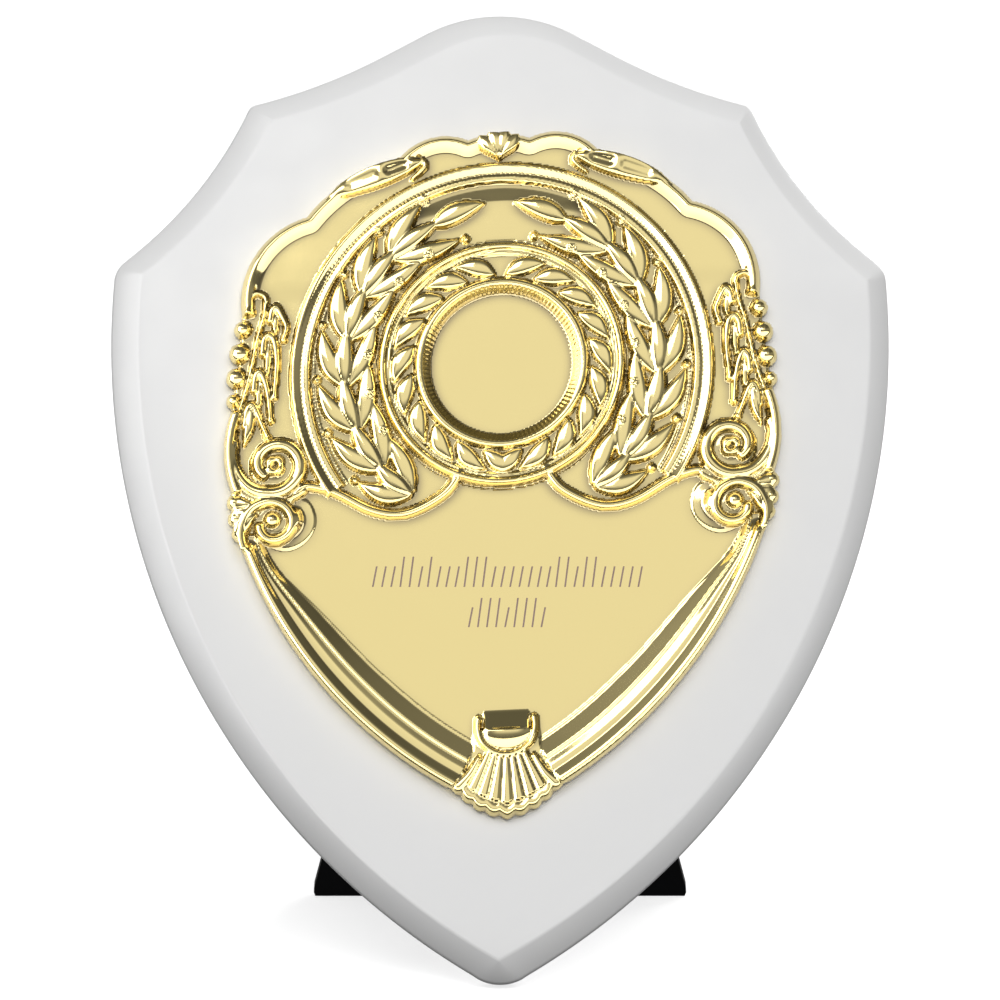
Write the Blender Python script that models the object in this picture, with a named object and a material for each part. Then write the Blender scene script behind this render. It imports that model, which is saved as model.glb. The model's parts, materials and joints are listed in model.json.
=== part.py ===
"""Award shield plaque: a white shield board with a gold relief front and a folding strut behind it.

Lengths are in millimetres up to the point where a mesh or curve is made.
The board and its gold front are drawn lying flat, with x to the right, y up the shield and z out of
its face. The gold front has its own drawing, centred on its medallion, that lay() sets on the board.
"""
import bpy
import bmesh
from math import acos, atan2, cos, degrees, hypot, pi, radians, sin, sqrt, tan
from mathutils import Vector

MM = 0.001
TOUCH_GAP = 0.3

# Stance
LEAN_BACK = 15.0
FOOT_BEHIND_TIP = 80.0

# Shield board
SHIELD_HEIGHT = 178.0
BOARD_THICKNESS = 10.0
BEVEL_DEPTH = 4.2
BEVEL_WIDTH = 4.5
FACE_SHIFT = (0.5, 0.0)
FACE_TURN = -0.5
CREST_RADIUS = 29.0
CREST_SLOPE = 28.3
FLANK_STRAIGHT = 8.8
FLANK_RADIUS = 105.0
COVE_CENTRE = (116.4, 192.2)
COVE_RADIUS = 77.0
SIDE_CENTRE = (-63.2, 117.3)
SIDE_RADIUS = 134.4
CORNER_RADIUS = 1.8
SHOULDER_RADIUS = 5.0
TIP_RADIUS = 8.3

# Gold front: where its medallion sits on the board, and how far its drawing is out of true
MEDALLION_AT = (0.3, 111.55)
DRAWING_LEAN = -0.0125
DRAWING_RISE = 0.044
SHEET_BACK = 0.25
GROUND = 1.5
FIELD_LEVEL = 1.1
WELL_LEVEL = 0.8
SEAT_LEVEL = 1.1
SEAT_RADIUS = 12.85
SHEET_INSET = 0.3
ARC_CENTRE = (0.0, -1.5)
ARC_RADIUS = 39.0
ARC_END = -34.0
LAUREL_NODES = 7
LAUREL_FIRST = 115.0
LAUREL_STEP = 17.2
RING_LEAVES = 10
VOLUTES = (((41.25, -17.05), 1.0), ((41.55, -27.5), 0.8))
SHELL_CENTRE = (0.0, -64.1)
LIP_OVERLAP = 0.25
FLUTES = 7
FLUTE_FAN = 62.0

# Strut and its hinge
HINGE_UP = 110.0
HINGE_BEHIND = 4.6
STRUT_FOOT_WIDTH = 75.0
STRUT_TAPER = 13.1
STRUT_THICKNESS = 2.5
STRUT_CORNER = 2.3
STRUT_HEEL = 1.9
KNUCKLE_RADIUS = 2.4
KNUCKLE_LENGTH = 10.0
PIN_RADIUS = 1.2
PIN_CLEARANCE = 0.3
BRACKET_WIDTH = 24.0
BRACKET_RISE = 22.0
BRACKET_THICKNESS = 1.6
SCREW_HEIGHTS = (8.0, 17.0)
SCREW_HEAD_RADIUS = 2.7
SCREW_HEAD_HEIGHT = 1.3
SCREW_SHANK_RADIUS = 1.2
SCREW_LENGTH = 6.5


# Collections and materials
def fresh_collection(name):
    collection = bpy.data.collections.new(name)
    bpy.context.scene.collection.children.link(collection)
    return collection


def painted(name, colour, roughness, metallic=0.0):
    material = bpy.data.materials.new(name)
    material.use_nodes = True
    shader = material.node_tree.nodes["Principled BSDF"]
    shader.inputs["Base Color"].default_value = (*colour, 1.0)
    shader.inputs["Roughness"].default_value = roughness
    shader.inputs["Metallic"].default_value = metallic
    material.diffuse_color = (*colour, 1.0)
    return material


# Plane geometry
def arc(centre, radius, start, end, count):
    """Points on an arc, angles in degrees."""
    angles = [radians(start + (end - start) * i / (count - 1)) for i in range(count)]
    return [(centre[0] + radius * cos(a), centre[1] + radius * sin(a)) for a in angles]


def angle_of(point, centre):
    return degrees(atan2(point[1] - centre[1], point[0] - centre[0]))


def arc_through(first, middle, last, count):
    """Points on the arc that passes through three points."""
    (ax, ay), (bx, by), (cx, cy) = first, middle, last
    d = 2.0 * (ax * (by - cy) + bx * (cy - ay) + cx * (ay - by))
    a2, b2, c2 = ax * ax + ay * ay, bx * bx + by * by, cx * cx + cy * cy
    centre = ((a2 * (by - cy) + b2 * (cy - ay) + c2 * (ay - by)) / d,
              (a2 * (cx - bx) + b2 * (ax - cx) + c2 * (bx - ax)) / d)
    start, mid, end = (angle_of(point, centre) for point in (first, middle, last))
    turn = (end - start) % 360.0
    if (mid - start) % 360.0 > turn:
        turn -= 360.0
    return arc(centre, hypot(ax - centre[0], ay - centre[1]), start, start + turn, count)


def circles_meet(centre_a, radius_a, centre_b, radius_b, near):
    """The crossing of two circles that lies nearest to a given point."""
    a, b = Vector(centre_a), Vector(centre_b)
    along = b - a
    gap = along.length
    along /= gap
    x = (gap * gap + radius_a ** 2 - radius_b ** 2) / (2.0 * gap)
    y = sqrt(radius_a ** 2 - x * x)
    foot = a + along * x
    across = Vector((-along.y, along.x)) * y
    return tuple(min((foot + across, foot - across), key=lambda p: (p - Vector(near)).length))


def trimmed(path, length):
    """The path without its last stretch of the given length."""
    points = [Vector(p) for p in path]
    while len(points) > 1:
        step = (points[-1] - points[-2]).length
        if step > length:
            points[-1] = points[-1].lerp(points[-2], length / step)
            break
        length -= step
        points.pop()
    return [tuple(p) for p in points]


def rounded_corner(before, after, radius, count=6):
    """Two paths that meet at a corner, joined there by a fillet."""
    corner = Vector(before[-1])
    d_in = (corner - Vector(before[-2])).normalized()
    d_out = (Vector(after[1]) - corner).normalized()
    turn = acos(max(-1.0, min(1.0, d_in.dot(d_out))))
    reach = radius * tan(turn / 2.0)
    a = corner - d_in * reach
    b = corner + d_out * reach
    middle = corner + (d_out - d_in).normalized() * radius * (1.0 / cos(turn / 2.0) - 1.0)
    fillet = arc_through(tuple(a), tuple(middle), tuple(b), count)
    return trimmed(before, reach)[:-1] + fillet + trimmed(after[::-1], reach)[::-1][1:]


def mirrored(path):
    return [(-x, y) for x, y in reversed(path)]


# Solids
def as_solid(bm, name, collection):
    bm.normal_update()
    bmesh.ops.recalc_face_normals(bm, faces=bm.faces)
    mesh = bpy.data.meshes.new(name)
    bm.to_mesh(mesh)
    bm.free()
    solid = bpy.data.objects.new(name, mesh)
    collection.objects.link(solid)
    return solid


def curve_object(name, paths, cyclic, dimensions="2D", radii=None, lift=0.0):
    """One curve through the points of each path; radii are the same for every path."""
    data = bpy.data.curves.new(name, "CURVE")
    data.dimensions = dimensions
    data.resolution_u = 1
    for path in paths:
        spline = data.splines.new("POLY")
        spline.points.add(len(path) - 1)
        for i, (point, place) in enumerate(zip(spline.points, path)):
            point.co = (place[0] * MM, place[1] * MM, lift * MM, 1.0)
            point.radius = radii[i] if radii else 1.0
        spline.use_cyclic_u = cyclic
    item = bpy.data.objects.new(name, data)
    bpy.context.scene.collection.objects.link(item)
    return item


def curve_to_solid(item, name, collection, low=0.0):
    """Make a curve object a closed mesh, raised by low, and drop the curve."""
    graph = bpy.context.evaluated_depsgraph_get()
    mesh = bpy.data.meshes.new_from_object(item.evaluated_get(graph))
    bm = bmesh.new()
    bm.from_mesh(mesh)
    bmesh.ops.remove_doubles(bm, verts=bm.verts, dist=0.00001)
    bmesh.ops.translate(bm, verts=bm.verts, vec=(0.0, 0.0, low * MM))
    bpy.data.objects.remove(item)
    return as_solid(bm, name, collection)


def prism(name, outline, low, high, collection):
    """A flat outline with straight walls from low to high."""
    item = curve_object(name, [outline], True)
    item.data.fill_mode = "BOTH"
    item.data.extrude = (high - low) / 2.0 * MM
    return curve_to_solid(item, name, collection, (low + high) / 2.0)


def swept(name, paths, profile, collection):
    """Mouldings: profile pairs are distance to the right of the path, and height."""
    section = curve_object(name + "_section", [profile], True)
    item = curve_object(name, paths, False)
    item.data.bevel_mode = "OBJECT"
    item.data.bevel_object = section
    item.data.use_fill_caps = True
    solid = curve_to_solid(item, name, collection)
    bpy.data.objects.remove(section)
    return solid


def tube(name, paths, radius, height, collection, radii=None):
    """Round ribs along paths, their centre lines at the given height."""
    item = curve_object(name, paths, False, "3D", radii, height)
    item.data.bevel_depth = radius * MM
    item.data.bevel_resolution = 1
    item.data.use_fill_caps = True
    return curve_to_solid(item, name, collection)


def turned(name, profile, spots, collection, steps=32):
    """A profile of radius and height turned about each spot; a spot is x, y and the width's share."""
    bm = bmesh.new()
    for x, y, share in spots:
        row = [bm.verts.new(((x + r * share) * MM, y * MM, z * MM)) for r, z in profile]
        edges = [bm.edges.new(pair) for pair in zip(row, row[1:])]
        if profile[0][0] > 0.0:
            edges.append(bm.edges.new((row[-1], row[0])))
        bmesh.ops.spin(bm, geom=row + edges, cent=(x * MM, y * MM, 0.0), axis=(0.0, 0.0, 1.0),
                       steps=steps, angle=2.0 * pi)
    bmesh.ops.remove_doubles(bm, verts=bm.verts, dist=0.000001)
    return as_solid(bm, name, collection)


def convex(name, groups, collection):
    """One solid for each group of points: the convex hull of its points."""
    bm = bmesh.new()
    for points in groups:
        verts = [bm.verts.new([c * MM for c in p]) for p in points]
        hull = bmesh.ops.convex_hull(bm, input=verts)
        spare = [v for v in hull["geom_interior"] + hull["geom_unused"] if isinstance(v, bmesh.types.BMVert)]
        bmesh.ops.delete(bm, geom=list(set(spare)), context="VERTS")
    return as_solid(bm, name, collection)


def lofted(name, loops, collection):
    """A solid between closed loops of as many points each, given as (outline, height)."""
    bm = bmesh.new()
    rings = [[bm.verts.new((x * MM, y * MM, z * MM)) for x, y in outline] for outline, z in loops]
    for ring in rings:
        for a, b in zip(ring, ring[1:] + ring[:1]):
            bm.edges.new((a, b))
    for low, high in zip(rings, rings[1:]):
        edges = [bm.edges.get((a, b)) for ring in (low, high) for a, b in zip(ring, ring[1:] + ring[:1])]
        bmesh.ops.bridge_loops(bm, edges=edges)
    bm.faces.new(rings[0])
    bm.faces.new(rings[-1])
    return as_solid(bm, name, collection)


def combine(target, tool, operation):
    """Join to or cut from the target with a tool that stays in the scene as a wire guide."""
    tool.hide_render = True
    tool.display_type = "WIRE"
    step = target.modifiers.new(operation.lower() + "_" + tool.name, "BOOLEAN")
    step.operation = operation
    step.object = tool
    step.solver = "EXACT"


# Board
def board_outline(inset=0.0, rounded=True):
    """The shield outline, or a line inside it at the given distance, starting at the top centre."""
    slope = radians(CREST_SLOPE)
    crest_centre = (0.0, SHIELD_HEIGHT - CREST_RADIUS)
    crest = arc(crest_centre, CREST_RADIUS - inset, 90.0, 90.0 - CREST_SLOPE, 8)
    nominal = Vector(crest_centre) + CREST_RADIUS * Vector((sin(slope), cos(slope)))
    nominal += FLANK_STRAIGHT * Vector((cos(slope), -sin(slope)))
    flank_centre = nominal + FLANK_RADIUS * Vector((sin(slope), cos(slope)))
    corner = circles_meet(flank_centre, FLANK_RADIUS + inset, COVE_CENTRE, COVE_RADIUS + inset, (46.0, 160.0))
    shoulder = circles_meet(COVE_CENTRE, COVE_RADIUS + inset, SIDE_CENTRE, SIDE_RADIUS - inset, (71.0, 130.0))
    flank = arc(flank_centre, FLANK_RADIUS + inset, 270.0 - CREST_SLOPE,
                angle_of(corner, flank_centre) % 360.0, 7)
    cove = arc(COVE_CENTRE, COVE_RADIUS + inset, angle_of(corner, COVE_CENTRE) % 360.0,
               angle_of(shoulder, COVE_CENTRE) % 360.0, 9)
    tip_angle = -degrees(acos(-SIDE_CENTRE[0] / (SIDE_RADIUS - inset)))
    side = arc(SIDE_CENTRE, SIDE_RADIUS - inset, angle_of(shoulder, SIDE_CENTRE), tip_angle, 18)
    if rounded:
        half = rounded_corner(crest + flank, cove, CORNER_RADIUS, 5)
        half = rounded_corner(half, side, SHOULDER_RADIUS, 6)
        whole = rounded_corner(half, mirrored(half), TIP_RADIUS, 8)
    else:
        half = crest + flank + cove[1:] + side[1:]
        whole = half + mirrored(half)[1:]
    return whole[:-1]


def turned_and_shifted(outline):
    turn = radians(FACE_TURN)
    middle = SHIELD_HEIGHT / 2.0
    return [(x * cos(turn) - (y - middle) * sin(turn) + FACE_SHIFT[0],
             middle + x * sin(turn) + (y - middle) * cos(turn) + FACE_SHIFT[1]) for x, y in outline]


def make_board(parts, guides):
    """The board: a slab of the outline, met by a wide blunt wedge that gives the bevelled face."""
    board = prism("shield_board", board_outline(), 0.0, BOARD_THICKNESS + 2.0, parts)
    spread = BEVEL_WIDTH / BEVEL_DEPTH
    below = 1.0
    foot_inset = BEVEL_WIDTH - (BOARD_THICKNESS + below) * spread
    wedge = lofted("bevel_wedge", [(turned_and_shifted(board_outline(foot_inset, False)), -below),
                                   (turned_and_shifted(board_outline(BEVEL_WIDTH, False)), BOARD_THICKNESS)],
                   guides)
    combine(board, wedge, "INTERSECT")
    for number, rise in enumerate(SCREW_HEIGHTS, 1):
        hole = turned(f"pilot_hole_{number}", screw_hole(-1.0, SCREW_LENGTH + TOUCH_GAP),
                      [(0.0, HINGE_UP + rise, 1.0)], guides, 12)
        combine(board, hole, "DIFFERENCE")
    return board


def screw_hole(low, high):
    radius = SCREW_SHANK_RADIUS + TOUCH_GAP
    return [(0.0, high), (radius, high), (radius, low), (0.0, low)]


# Gold front: the drawing
def lay(path):
    """Places of the gold front's drawing, on the board."""
    return [(MEDALLION_AT[0] + p + DRAWING_LEAN * q, MEDALLION_AT[1] + q + DRAWING_RISE * p) for p, q in path]


def edge_stretches():
    """The right half of the outline, from the crest to the shell, as separate sweeps of its rim."""
    return {
        "top_lobe": arc_through((1.0, 39.6), (10.2, 42.9), (18.4, 39.0), 6),
        "long_lobe": arc_through((17.6, 38.6), (27.4, 35.5), (35.3, 28.4), 6),
        "shoulder_lobe": arc_through((34.4, 28.9), (43.6, 23.8), (47.0, 10.0), 7),
        "side": arc_through((46.6, 11.0), (48.4, -3.0), (49.5, -9.0), 4)[:-1]
        + arc_through((49.5, -9.0), (50.55, -14.0), (49.0, -22.5), 6),
        "lower": arc_through((48.1, -31.0), (33.0, -57.1), (8.0, -79.0), 10),
    }


def sheet_outline():
    """The whole outline of the sheet behind the rims."""
    edge = edge_stretches()
    right = edge["top_lobe"][1:-1] + edge["long_lobe"][1:-1] + edge["shoulder_lobe"][1:-1]
    right += edge["side"] + edge["lower"][1:-2]
    inner = [(p * (1.0 - SHEET_INSET / 48.0), q * (1.0 - SHEET_INSET / 60.0)) for p, q in right]
    return inner + [(0.0, SHELL_CENTRE[1] - 15.0)] + mirrored(inner)


def lip_path():
    """The wavy lip over the engraving field, from the right volute to the medallion."""
    return [(38.7, -23.7), (36.8, -21.6), (34.6, -21.0), (30.8, -22.2), (26.6, -24.6), (22.6, -26.4),
            (19.3, -26.9), (15.9, -26.2), (12.2, -24.4), (8.2, -20.6)]


def field_outline():
    """The engraving field, out to where its mouldings and lip cover its edge."""
    lip = [(p, q - LIP_OVERLAP) for p, q in lip_path()]
    right = lip[2:-1] + [(4.0, -21.0)]
    wall = [(35.0, -24.0), (34.6, -30.0), (37.5, -34.0)]
    low = arc_through((36.5, -38.0), (25.6, -53.0), (6.5, -66.5), 6)
    right = right[::-1] + wall + low
    return right + mirrored(right)


def well_outline():
    """The sunk ground under the laurel, from the big arc down to the lip."""
    half = arc(ARC_CENTRE, ARC_RADIUS - 3.0, 90.0, ARC_END, 13)
    half += [(p, q + LIP_OVERLAP) for p, q in lip_path()[3:-1]] + [(0.0, -20.5)]
    return half + mirrored(half)[1:-1]


def leaf(base, tip, width, edge, keel, sink, widest=0.45):
    """Points of a keeled leaf from base to tip: edge and keel are heights, sink its underside."""
    (bx, by), (tx, ty) = lay([base, tip])
    length = hypot(tx - bx, ty - by)
    dx, dy = (tx - bx) / length, (ty - by) / length
    points = [(bx, by, edge), (bx, by, sink), (tx, ty, edge), (tx, ty, sink)]
    x, y = bx + dx * length * widest, by + dy * length * widest
    points.append((x, y, keel))
    for half in (width / 2.0, -width / 2.0):
        points += [(x - dy * half, y + dx * half, z) for z in (edge, sink)]
    return points


def polar(radius, angle):
    return (radius * cos(radians(angle)), radius * sin(radians(angle)))


def both(points):
    """A base and tip, and their mirror images."""
    return (points, tuple((-p, q) for p, q in points))


# Gold front: the pieces of the pressing
RIM = [(0.0, 0.0), (0.0, 2.5), (0.9, 3.4), (1.7, 3.1), (3.1, 1.3), (2.8, 0.0)]
SIDE_RIM = [(0.0, 0.0), (0.0, 2.5), (1.0, 3.5), (2.2, 2.8), (2.4, 0.0)]
LOWER_RIM = [(0.0, 0.0), (0.0, 2.5), (1.0, 3.5), (2.4, 2.4), (3.1, 2.3), (4.0, 3.1), (5.9, 2.8), (9.2, 1.3),
             (9.4, 0.4), (2.3, 0.0)]
ARC_BAND = [(0.0, 0.4), (0.0, 2.2), (0.8, 2.9), (1.8, 2.0), (2.5, 2.2), (3.6, 2.0), (4.3, 0.4)]
MEDALLION = [(22.3, 0.4), (22.3, 1.8), (21.2, 3.0), (20.0, 1.7), (16.0, 1.7), (15.1, 3.1),
             (SEAT_RADIUS + 0.15, 2.2), (SEAT_RADIUS + 0.1, 0.4)]


def rims(guides):
    """The mouldings round the edge, each side in as many sweeps as the edge has lobes."""
    profiles = {"top_lobe": RIM, "long_lobe": RIM, "shoulder_lobe": RIM, "side": SIDE_RIM, "lower": LOWER_RIM}
    for name, path in edge_stretches().items():
        yield swept(name, [lay(path), lay(mirrored(path))], profiles[name], guides)


def big_arc(guides):
    path = arc(ARC_CENTRE, ARC_RADIUS, 180.0 - ARC_END, ARC_END, 27)
    return swept("big_arc", [lay(path)], ARC_BAND, guides)


def lips(guides):
    path = lip_path()
    widths = [0.7, 0.9] + [1.0] * (len(path) - 3) + [0.8]
    flipped = [(-p, q) for p, q in path]
    return tube("lips", [lay(path), lay(flipped)], 1.0, 1.4, guides, widths)


def volutes(guides):
    """The round eyes of the scrolls at the ends of the side rim and of the lower rim."""
    eye = [(0.0, 3.3), (1.3, 3.0), (2.3, 1.9), (3.7, 3.2), (5.1, 2.0), (5.2, 0.35), (0.0, 0.35)]
    spots = [(*lay([(side * p, q)])[0], share) for (p, q), share in VOLUTES for side in (1.0, -1.0)]
    return turned("volutes", eye, spots, guides, 12)


def beads(guides):
    """Four beads down each side, and a fan of three small ones between the volutes."""
    places = [(46.9, 8.3, 1.55), (47.6, 4.0, 1.9), (48.15, -0.6, 1.95), (48.8, -4.7, 1.45)]
    places += [(48.4, -23.4, 1.45), (48.0, -26.6, 1.6), (47.3, -29.6, 1.5)]
    dome = [(0.0, 3.3), (0.75, 2.9), (1.05, 0.0), (0.0, 0.0)]
    for name, first in (("even", 0), ("odd", 1)):
        spots = [(*lay([(side * p, q)])[0], radius) for p, q, radius in places[first::2] for side in (1.0, -1.0)]
        yield turned("beads_" + name, dome, spots, guides, 8)


def laurel(guides):
    """Two branches, each with a leaf at its tip and nodes of three leaves down to the lip."""
    leaves = {"outer": [both((polar(29.0, 113.0), (-3.2, 29.6)))], "inner": [], "middle_even": [], "middle_odd": []}
    for node in range(LAUREL_NODES):
        tip_angle = LAUREL_FIRST + LAUREL_STEP * node
        base_angle = min(tip_angle + 20.0, 234.0)
        leaves["outer"].append(both((polar(28.9, base_angle), polar(33.2, tip_angle))))
        leaves["inner"].append(both((polar(28.1, base_angle), polar(24.7, tip_angle - 7.0))))
        middle = both((polar(28.4, base_angle - 2.0), polar(29.0, tip_angle - 3.0)))
        leaves["middle_odd" if node % 2 else "middle_even"].append(middle)
    for name, pairs in leaves.items():
        width, edge, ridge = (1.9, 1.63, 3.0) if name.startswith("middle") else (2.4, 1.42, 2.6)
        groups = [leaf(base, tip, width, edge, ridge, 0.45) for pair in pairs for base, tip in pair]
        yield convex("laurel_" + name, groups, guides)


def ring_leaves(guides):
    """Small slanting leaves round the medallion."""
    groups = []
    for number in range(RING_LEAVES):
        angle = 92.0 + 17.6 * number
        for base, tip in both((polar(16.4, angle), polar(19.4, angle + 19.0))):
            groups.append(leaf(base, tip, 2.1, 1.9, 2.6, 1.2))
    return convex("ring_leaves", groups, guides)


def husks(guides):
    """A hanging chain of four husks, each of two petals, beside the rim on both sides."""
    chain = [((41.0, 12.3), (39.2, 5.6), (42.6, 8.4)), ((42.4, 7.8), (41.3, -3.0), (44.2, 2.6)),
             ((43.9, 1.0), (42.4, -8.6), (45.2, -3.0)), ((45.2, -4.4), (43.8, -12.0), (45.9, -11.5))]
    for name, number, apex_shift in (("inner", 1, 0.0), ("outer", 2, 0.3)):
        pairs = [both(((husk[0][0] + apex_shift, husk[0][1]), husk[number])) for husk in chain]
        groups = [leaf(base, tip, 1.35, 1.75, 2.7, 0.52) for pair in pairs for base, tip in pair]
        yield convex("husks_" + name, groups, guides)


def acanthus(guides):
    """The long leaf that wraps the rim on each side of the crest."""
    groups = []
    for base, tip in both(((15.6, 37.6), (31.2, 31.2))):
        groups.append(leaf(base, tip, 4.4, 1.9, 3.3, 0.8, 0.5))
    return convex("acanthus", groups, guides)


def crest(guides):
    """Four lobes that fan out over the middle of the top."""
    for name, angles in (("left", (104.0, 49.0)), ("right", (76.0, 131.0))):
        groups = []
        for angle in angles:
            x, y = polar(1.0, angle)
            groups.append(leaf((1.5 * x, 37.0 + 1.5 * y), (6.0 * x, 38.0 + 6.0 * y), 2.7, 1.6, 3.6, 0.2, 0.7))
        yield convex("crest_" + name, groups, guides)


def shell(guides):
    """A fluted fan inside a scalloped rim, at the foot of the gold front."""
    fan = radians(FLUTE_FAN)
    groups = []
    for number in range(FLUTES):
        angle = -pi / 2.0 + fan * ((number + 0.5) / FLUTES - 0.5)
        foot = tuple(c + 5.8 * d for c, d in zip(SHELL_CENTRE, (cos(angle), sin(angle))))
        end = tuple(c + 15.4 * d for c, d in zip(SHELL_CENTRE, (cos(angle), sin(angle))))
        groups.append(leaf(foot, end, 1.5, 2.0, 2.9, 0.75, 0.7))
    back = arc(SHELL_CENTRE, 16.2, -90.0 - 36.0, -90.0 + 36.0, 9)
    yield prism("shell_back", lay([(-4.4, -70.0)] + back + [(4.4, -70.0)]), 0.3, 1.9, guides)
    yield convex("flutes", groups, guides)
    scallops = []
    for number in range(FLUTES):
        angle = -90.0 + 74.0 * (number / (FLUTES - 1.0) - 0.5)
        reach = 16.8 - 2.0 * abs(2.0 * number / (FLUTES - 1.0) - 1.0) ** 1.5
        spot = (SHELL_CENTRE[0] + reach * cos(radians(angle)), SHELL_CENTRE[1] + reach * sin(radians(angle)))
        scallops.append((*lay([spot])[0], 1.0))
    for name, first, foot in (("odd", 0, 0.45), ("even", 1, 0.37)):
        dome = [(0.0, 3.0), (1.3, 2.5), (1.8, foot), (0.0, foot)]
        yield turned("scallops_" + name, dome, scallops[first::2], guides, 7)


def cup(guides):
    """The round-bottomed cup above the shell, and its square top."""
    outline = arc((0.0, -65.6), 5.2, 180.0, 360.0, 9)
    yield lofted("cup", [(lay(outline), 0.6), (lay(outline), 2.2),
                         (lay([(p * 0.72, -66.0 + (q + 65.6) * 0.72) for p, q in outline]), 3.5)], guides)
    yield prism("cup_top", lay([(-4.0, -66.0), (4.0, -66.0), (4.0, -63.3), (-4.0, -63.3)]), 0.6, 2.5, guides)


def strokes(guides):
    """Two rows of plain slanted strokes across the engraving field."""
    groups = []
    for centre, height, count, pitch in ((-38.1, 5.2, 11, 4.6), (-45.6, 5.0, 4, 3.9)):
        for number in range(count):
            x = (number - (count - 1) / 2.0) * pitch + 0.9
            lean = 0.9 * (-1.0) ** number
            ends = lay([(x - lean / 2, centre - height / 2), (x + lean / 2, centre + height / 2)])
            groups.append([(ex + side * 0.18, ey, z) for ex, ey in ends for side in (-1, 1)
                           for z in (FIELD_LEVEL - 0.2, FIELD_LEVEL + 1.0)])
    return convex("strokes", groups, guides)


def make_front(parts, guides):
    """The gold front: a thin sheet, sunk in places, with every raised form joined on."""
    front = prism("gold_front", lay(sheet_outline()), SHEET_BACK, GROUND, parts)
    well = prism("well", lay(well_outline()), WELL_LEVEL, GROUND + 1.0, guides)
    field = prism("field", lay(field_outline()), FIELD_LEVEL, GROUND + 1.0, guides)
    middle = [(*lay([(0.0, 0.0)])[0], 1.0)]
    seat = [(0.0, 6.0), (SEAT_RADIUS, 6.0), (SEAT_RADIUS, SEAT_LEVEL), (0.0, SEAT_LEVEL)]
    raised = [*rims(guides), big_arc(guides), lips(guides), *beads(guides), acanthus(guides), *crest(guides),
              turned("medallion", MEDALLION, middle, guides, 36), ring_leaves(guides), *laurel(guides),
              *husks(guides), volutes(guides), *shell(guides), *cup(guides)]
    cuts = [turned("disc_seat", seat, middle, guides, 36), strokes(guides)]
    for cut in (well, field):
        combine(front, cut, "DIFFERENCE")
    for piece in raised:
        combine(front, piece, "UNION")
    for cut in cuts:
        combine(front, cut, "DIFFERENCE")
    return front


# Strut and hinge, drawn with x along the hinge, y up the board and z towards the board
def cylinder_along_x(name, radius, length, collection, at=(0.0, 0.0), sides=16):
    bm = bmesh.new()
    bmesh.ops.create_cone(bm, cap_ends=True, segments=sides, radius1=radius * MM, radius2=radius * MM,
                          depth=length * MM)
    for vert in bm.verts:
        x, y, z = vert.co
        vert.co = (z, y + at[0] * MM, -x + at[1] * MM)
    return as_solid(bm, name, collection)


def block(name, low, high, collection):
    bm = bmesh.new()
    bmesh.ops.create_cube(bm, size=1.0)
    for vert in bm.verts:
        vert.co = [(a + b) / 2.0 * MM + c * (b - a) * MM for a, b, c in zip(low, high, vert.co)]
    return as_solid(bm, name, collection)


def make_bracket(parts, guides):
    """The hinge bracket: a plate on the back of the board with a lug at each side of the strut."""
    outer = -TOUCH_GAP - BRACKET_THICKNESS
    half = BRACKET_WIDTH / 2.0
    low = -5.0
    corners = [(-half, low), (half, low), (half, BRACKET_RISE), (-half, BRACKET_RISE)]
    plate_path = corners + corners[:2]
    outline = []
    for i in range(4):
        before, after = plate_path[i:i + 2], plate_path[i + 1:i + 3]
        outline += rounded_corner(before, after, 2.5, 5)[1:-1]
    bracket = prism("hinge_bracket", outline, outer, -TOUCH_GAP, parts)
    lug_inner = KNUCKLE_LENGTH / 2.0 + TOUCH_GAP
    for name, side in (("right", 1.0), ("left", -1.0)):
        x = sorted((side * lug_inner, side * (half - 1.0)))
        lug = cylinder_along_x("lug_" + name, KNUCKLE_RADIUS, x[1] - x[0], guides, (0.0, -HINGE_BEHIND))
        lug.location.x = (x[0] + x[1]) / 2.0 * MM
        foot = block("lug_foot_" + name, (x[0], -KNUCKLE_RADIUS * 0.99, -HINGE_BEHIND),
                     (x[1], KNUCKLE_RADIUS * 0.99, -TOUCH_GAP - 0.4), guides)
        combine(bracket, foot, "UNION")
        combine(bracket, lug, "UNION")
    bore = cylinder_along_x("bracket_bore", PIN_RADIUS + PIN_CLEARANCE, BRACKET_WIDTH + 4.0, guides,
                            (0.0, -HINGE_BEHIND))
    combine(bracket, bore, "DIFFERENCE")
    for number, rise in enumerate(SCREW_HEIGHTS, 1):
        hole = turned(f"bracket_hole_{number}", screw_hole(-4.0, 1.0), [(0.0, rise, 1.0)], guides, 12)
        combine(bracket, hole, "DIFFERENCE")
    return bracket


def make_pin(parts):
    return cylinder_along_x("hinge_pin", PIN_RADIUS, BRACKET_WIDTH, parts, (0.0, -HINGE_BEHIND), 16)


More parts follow.
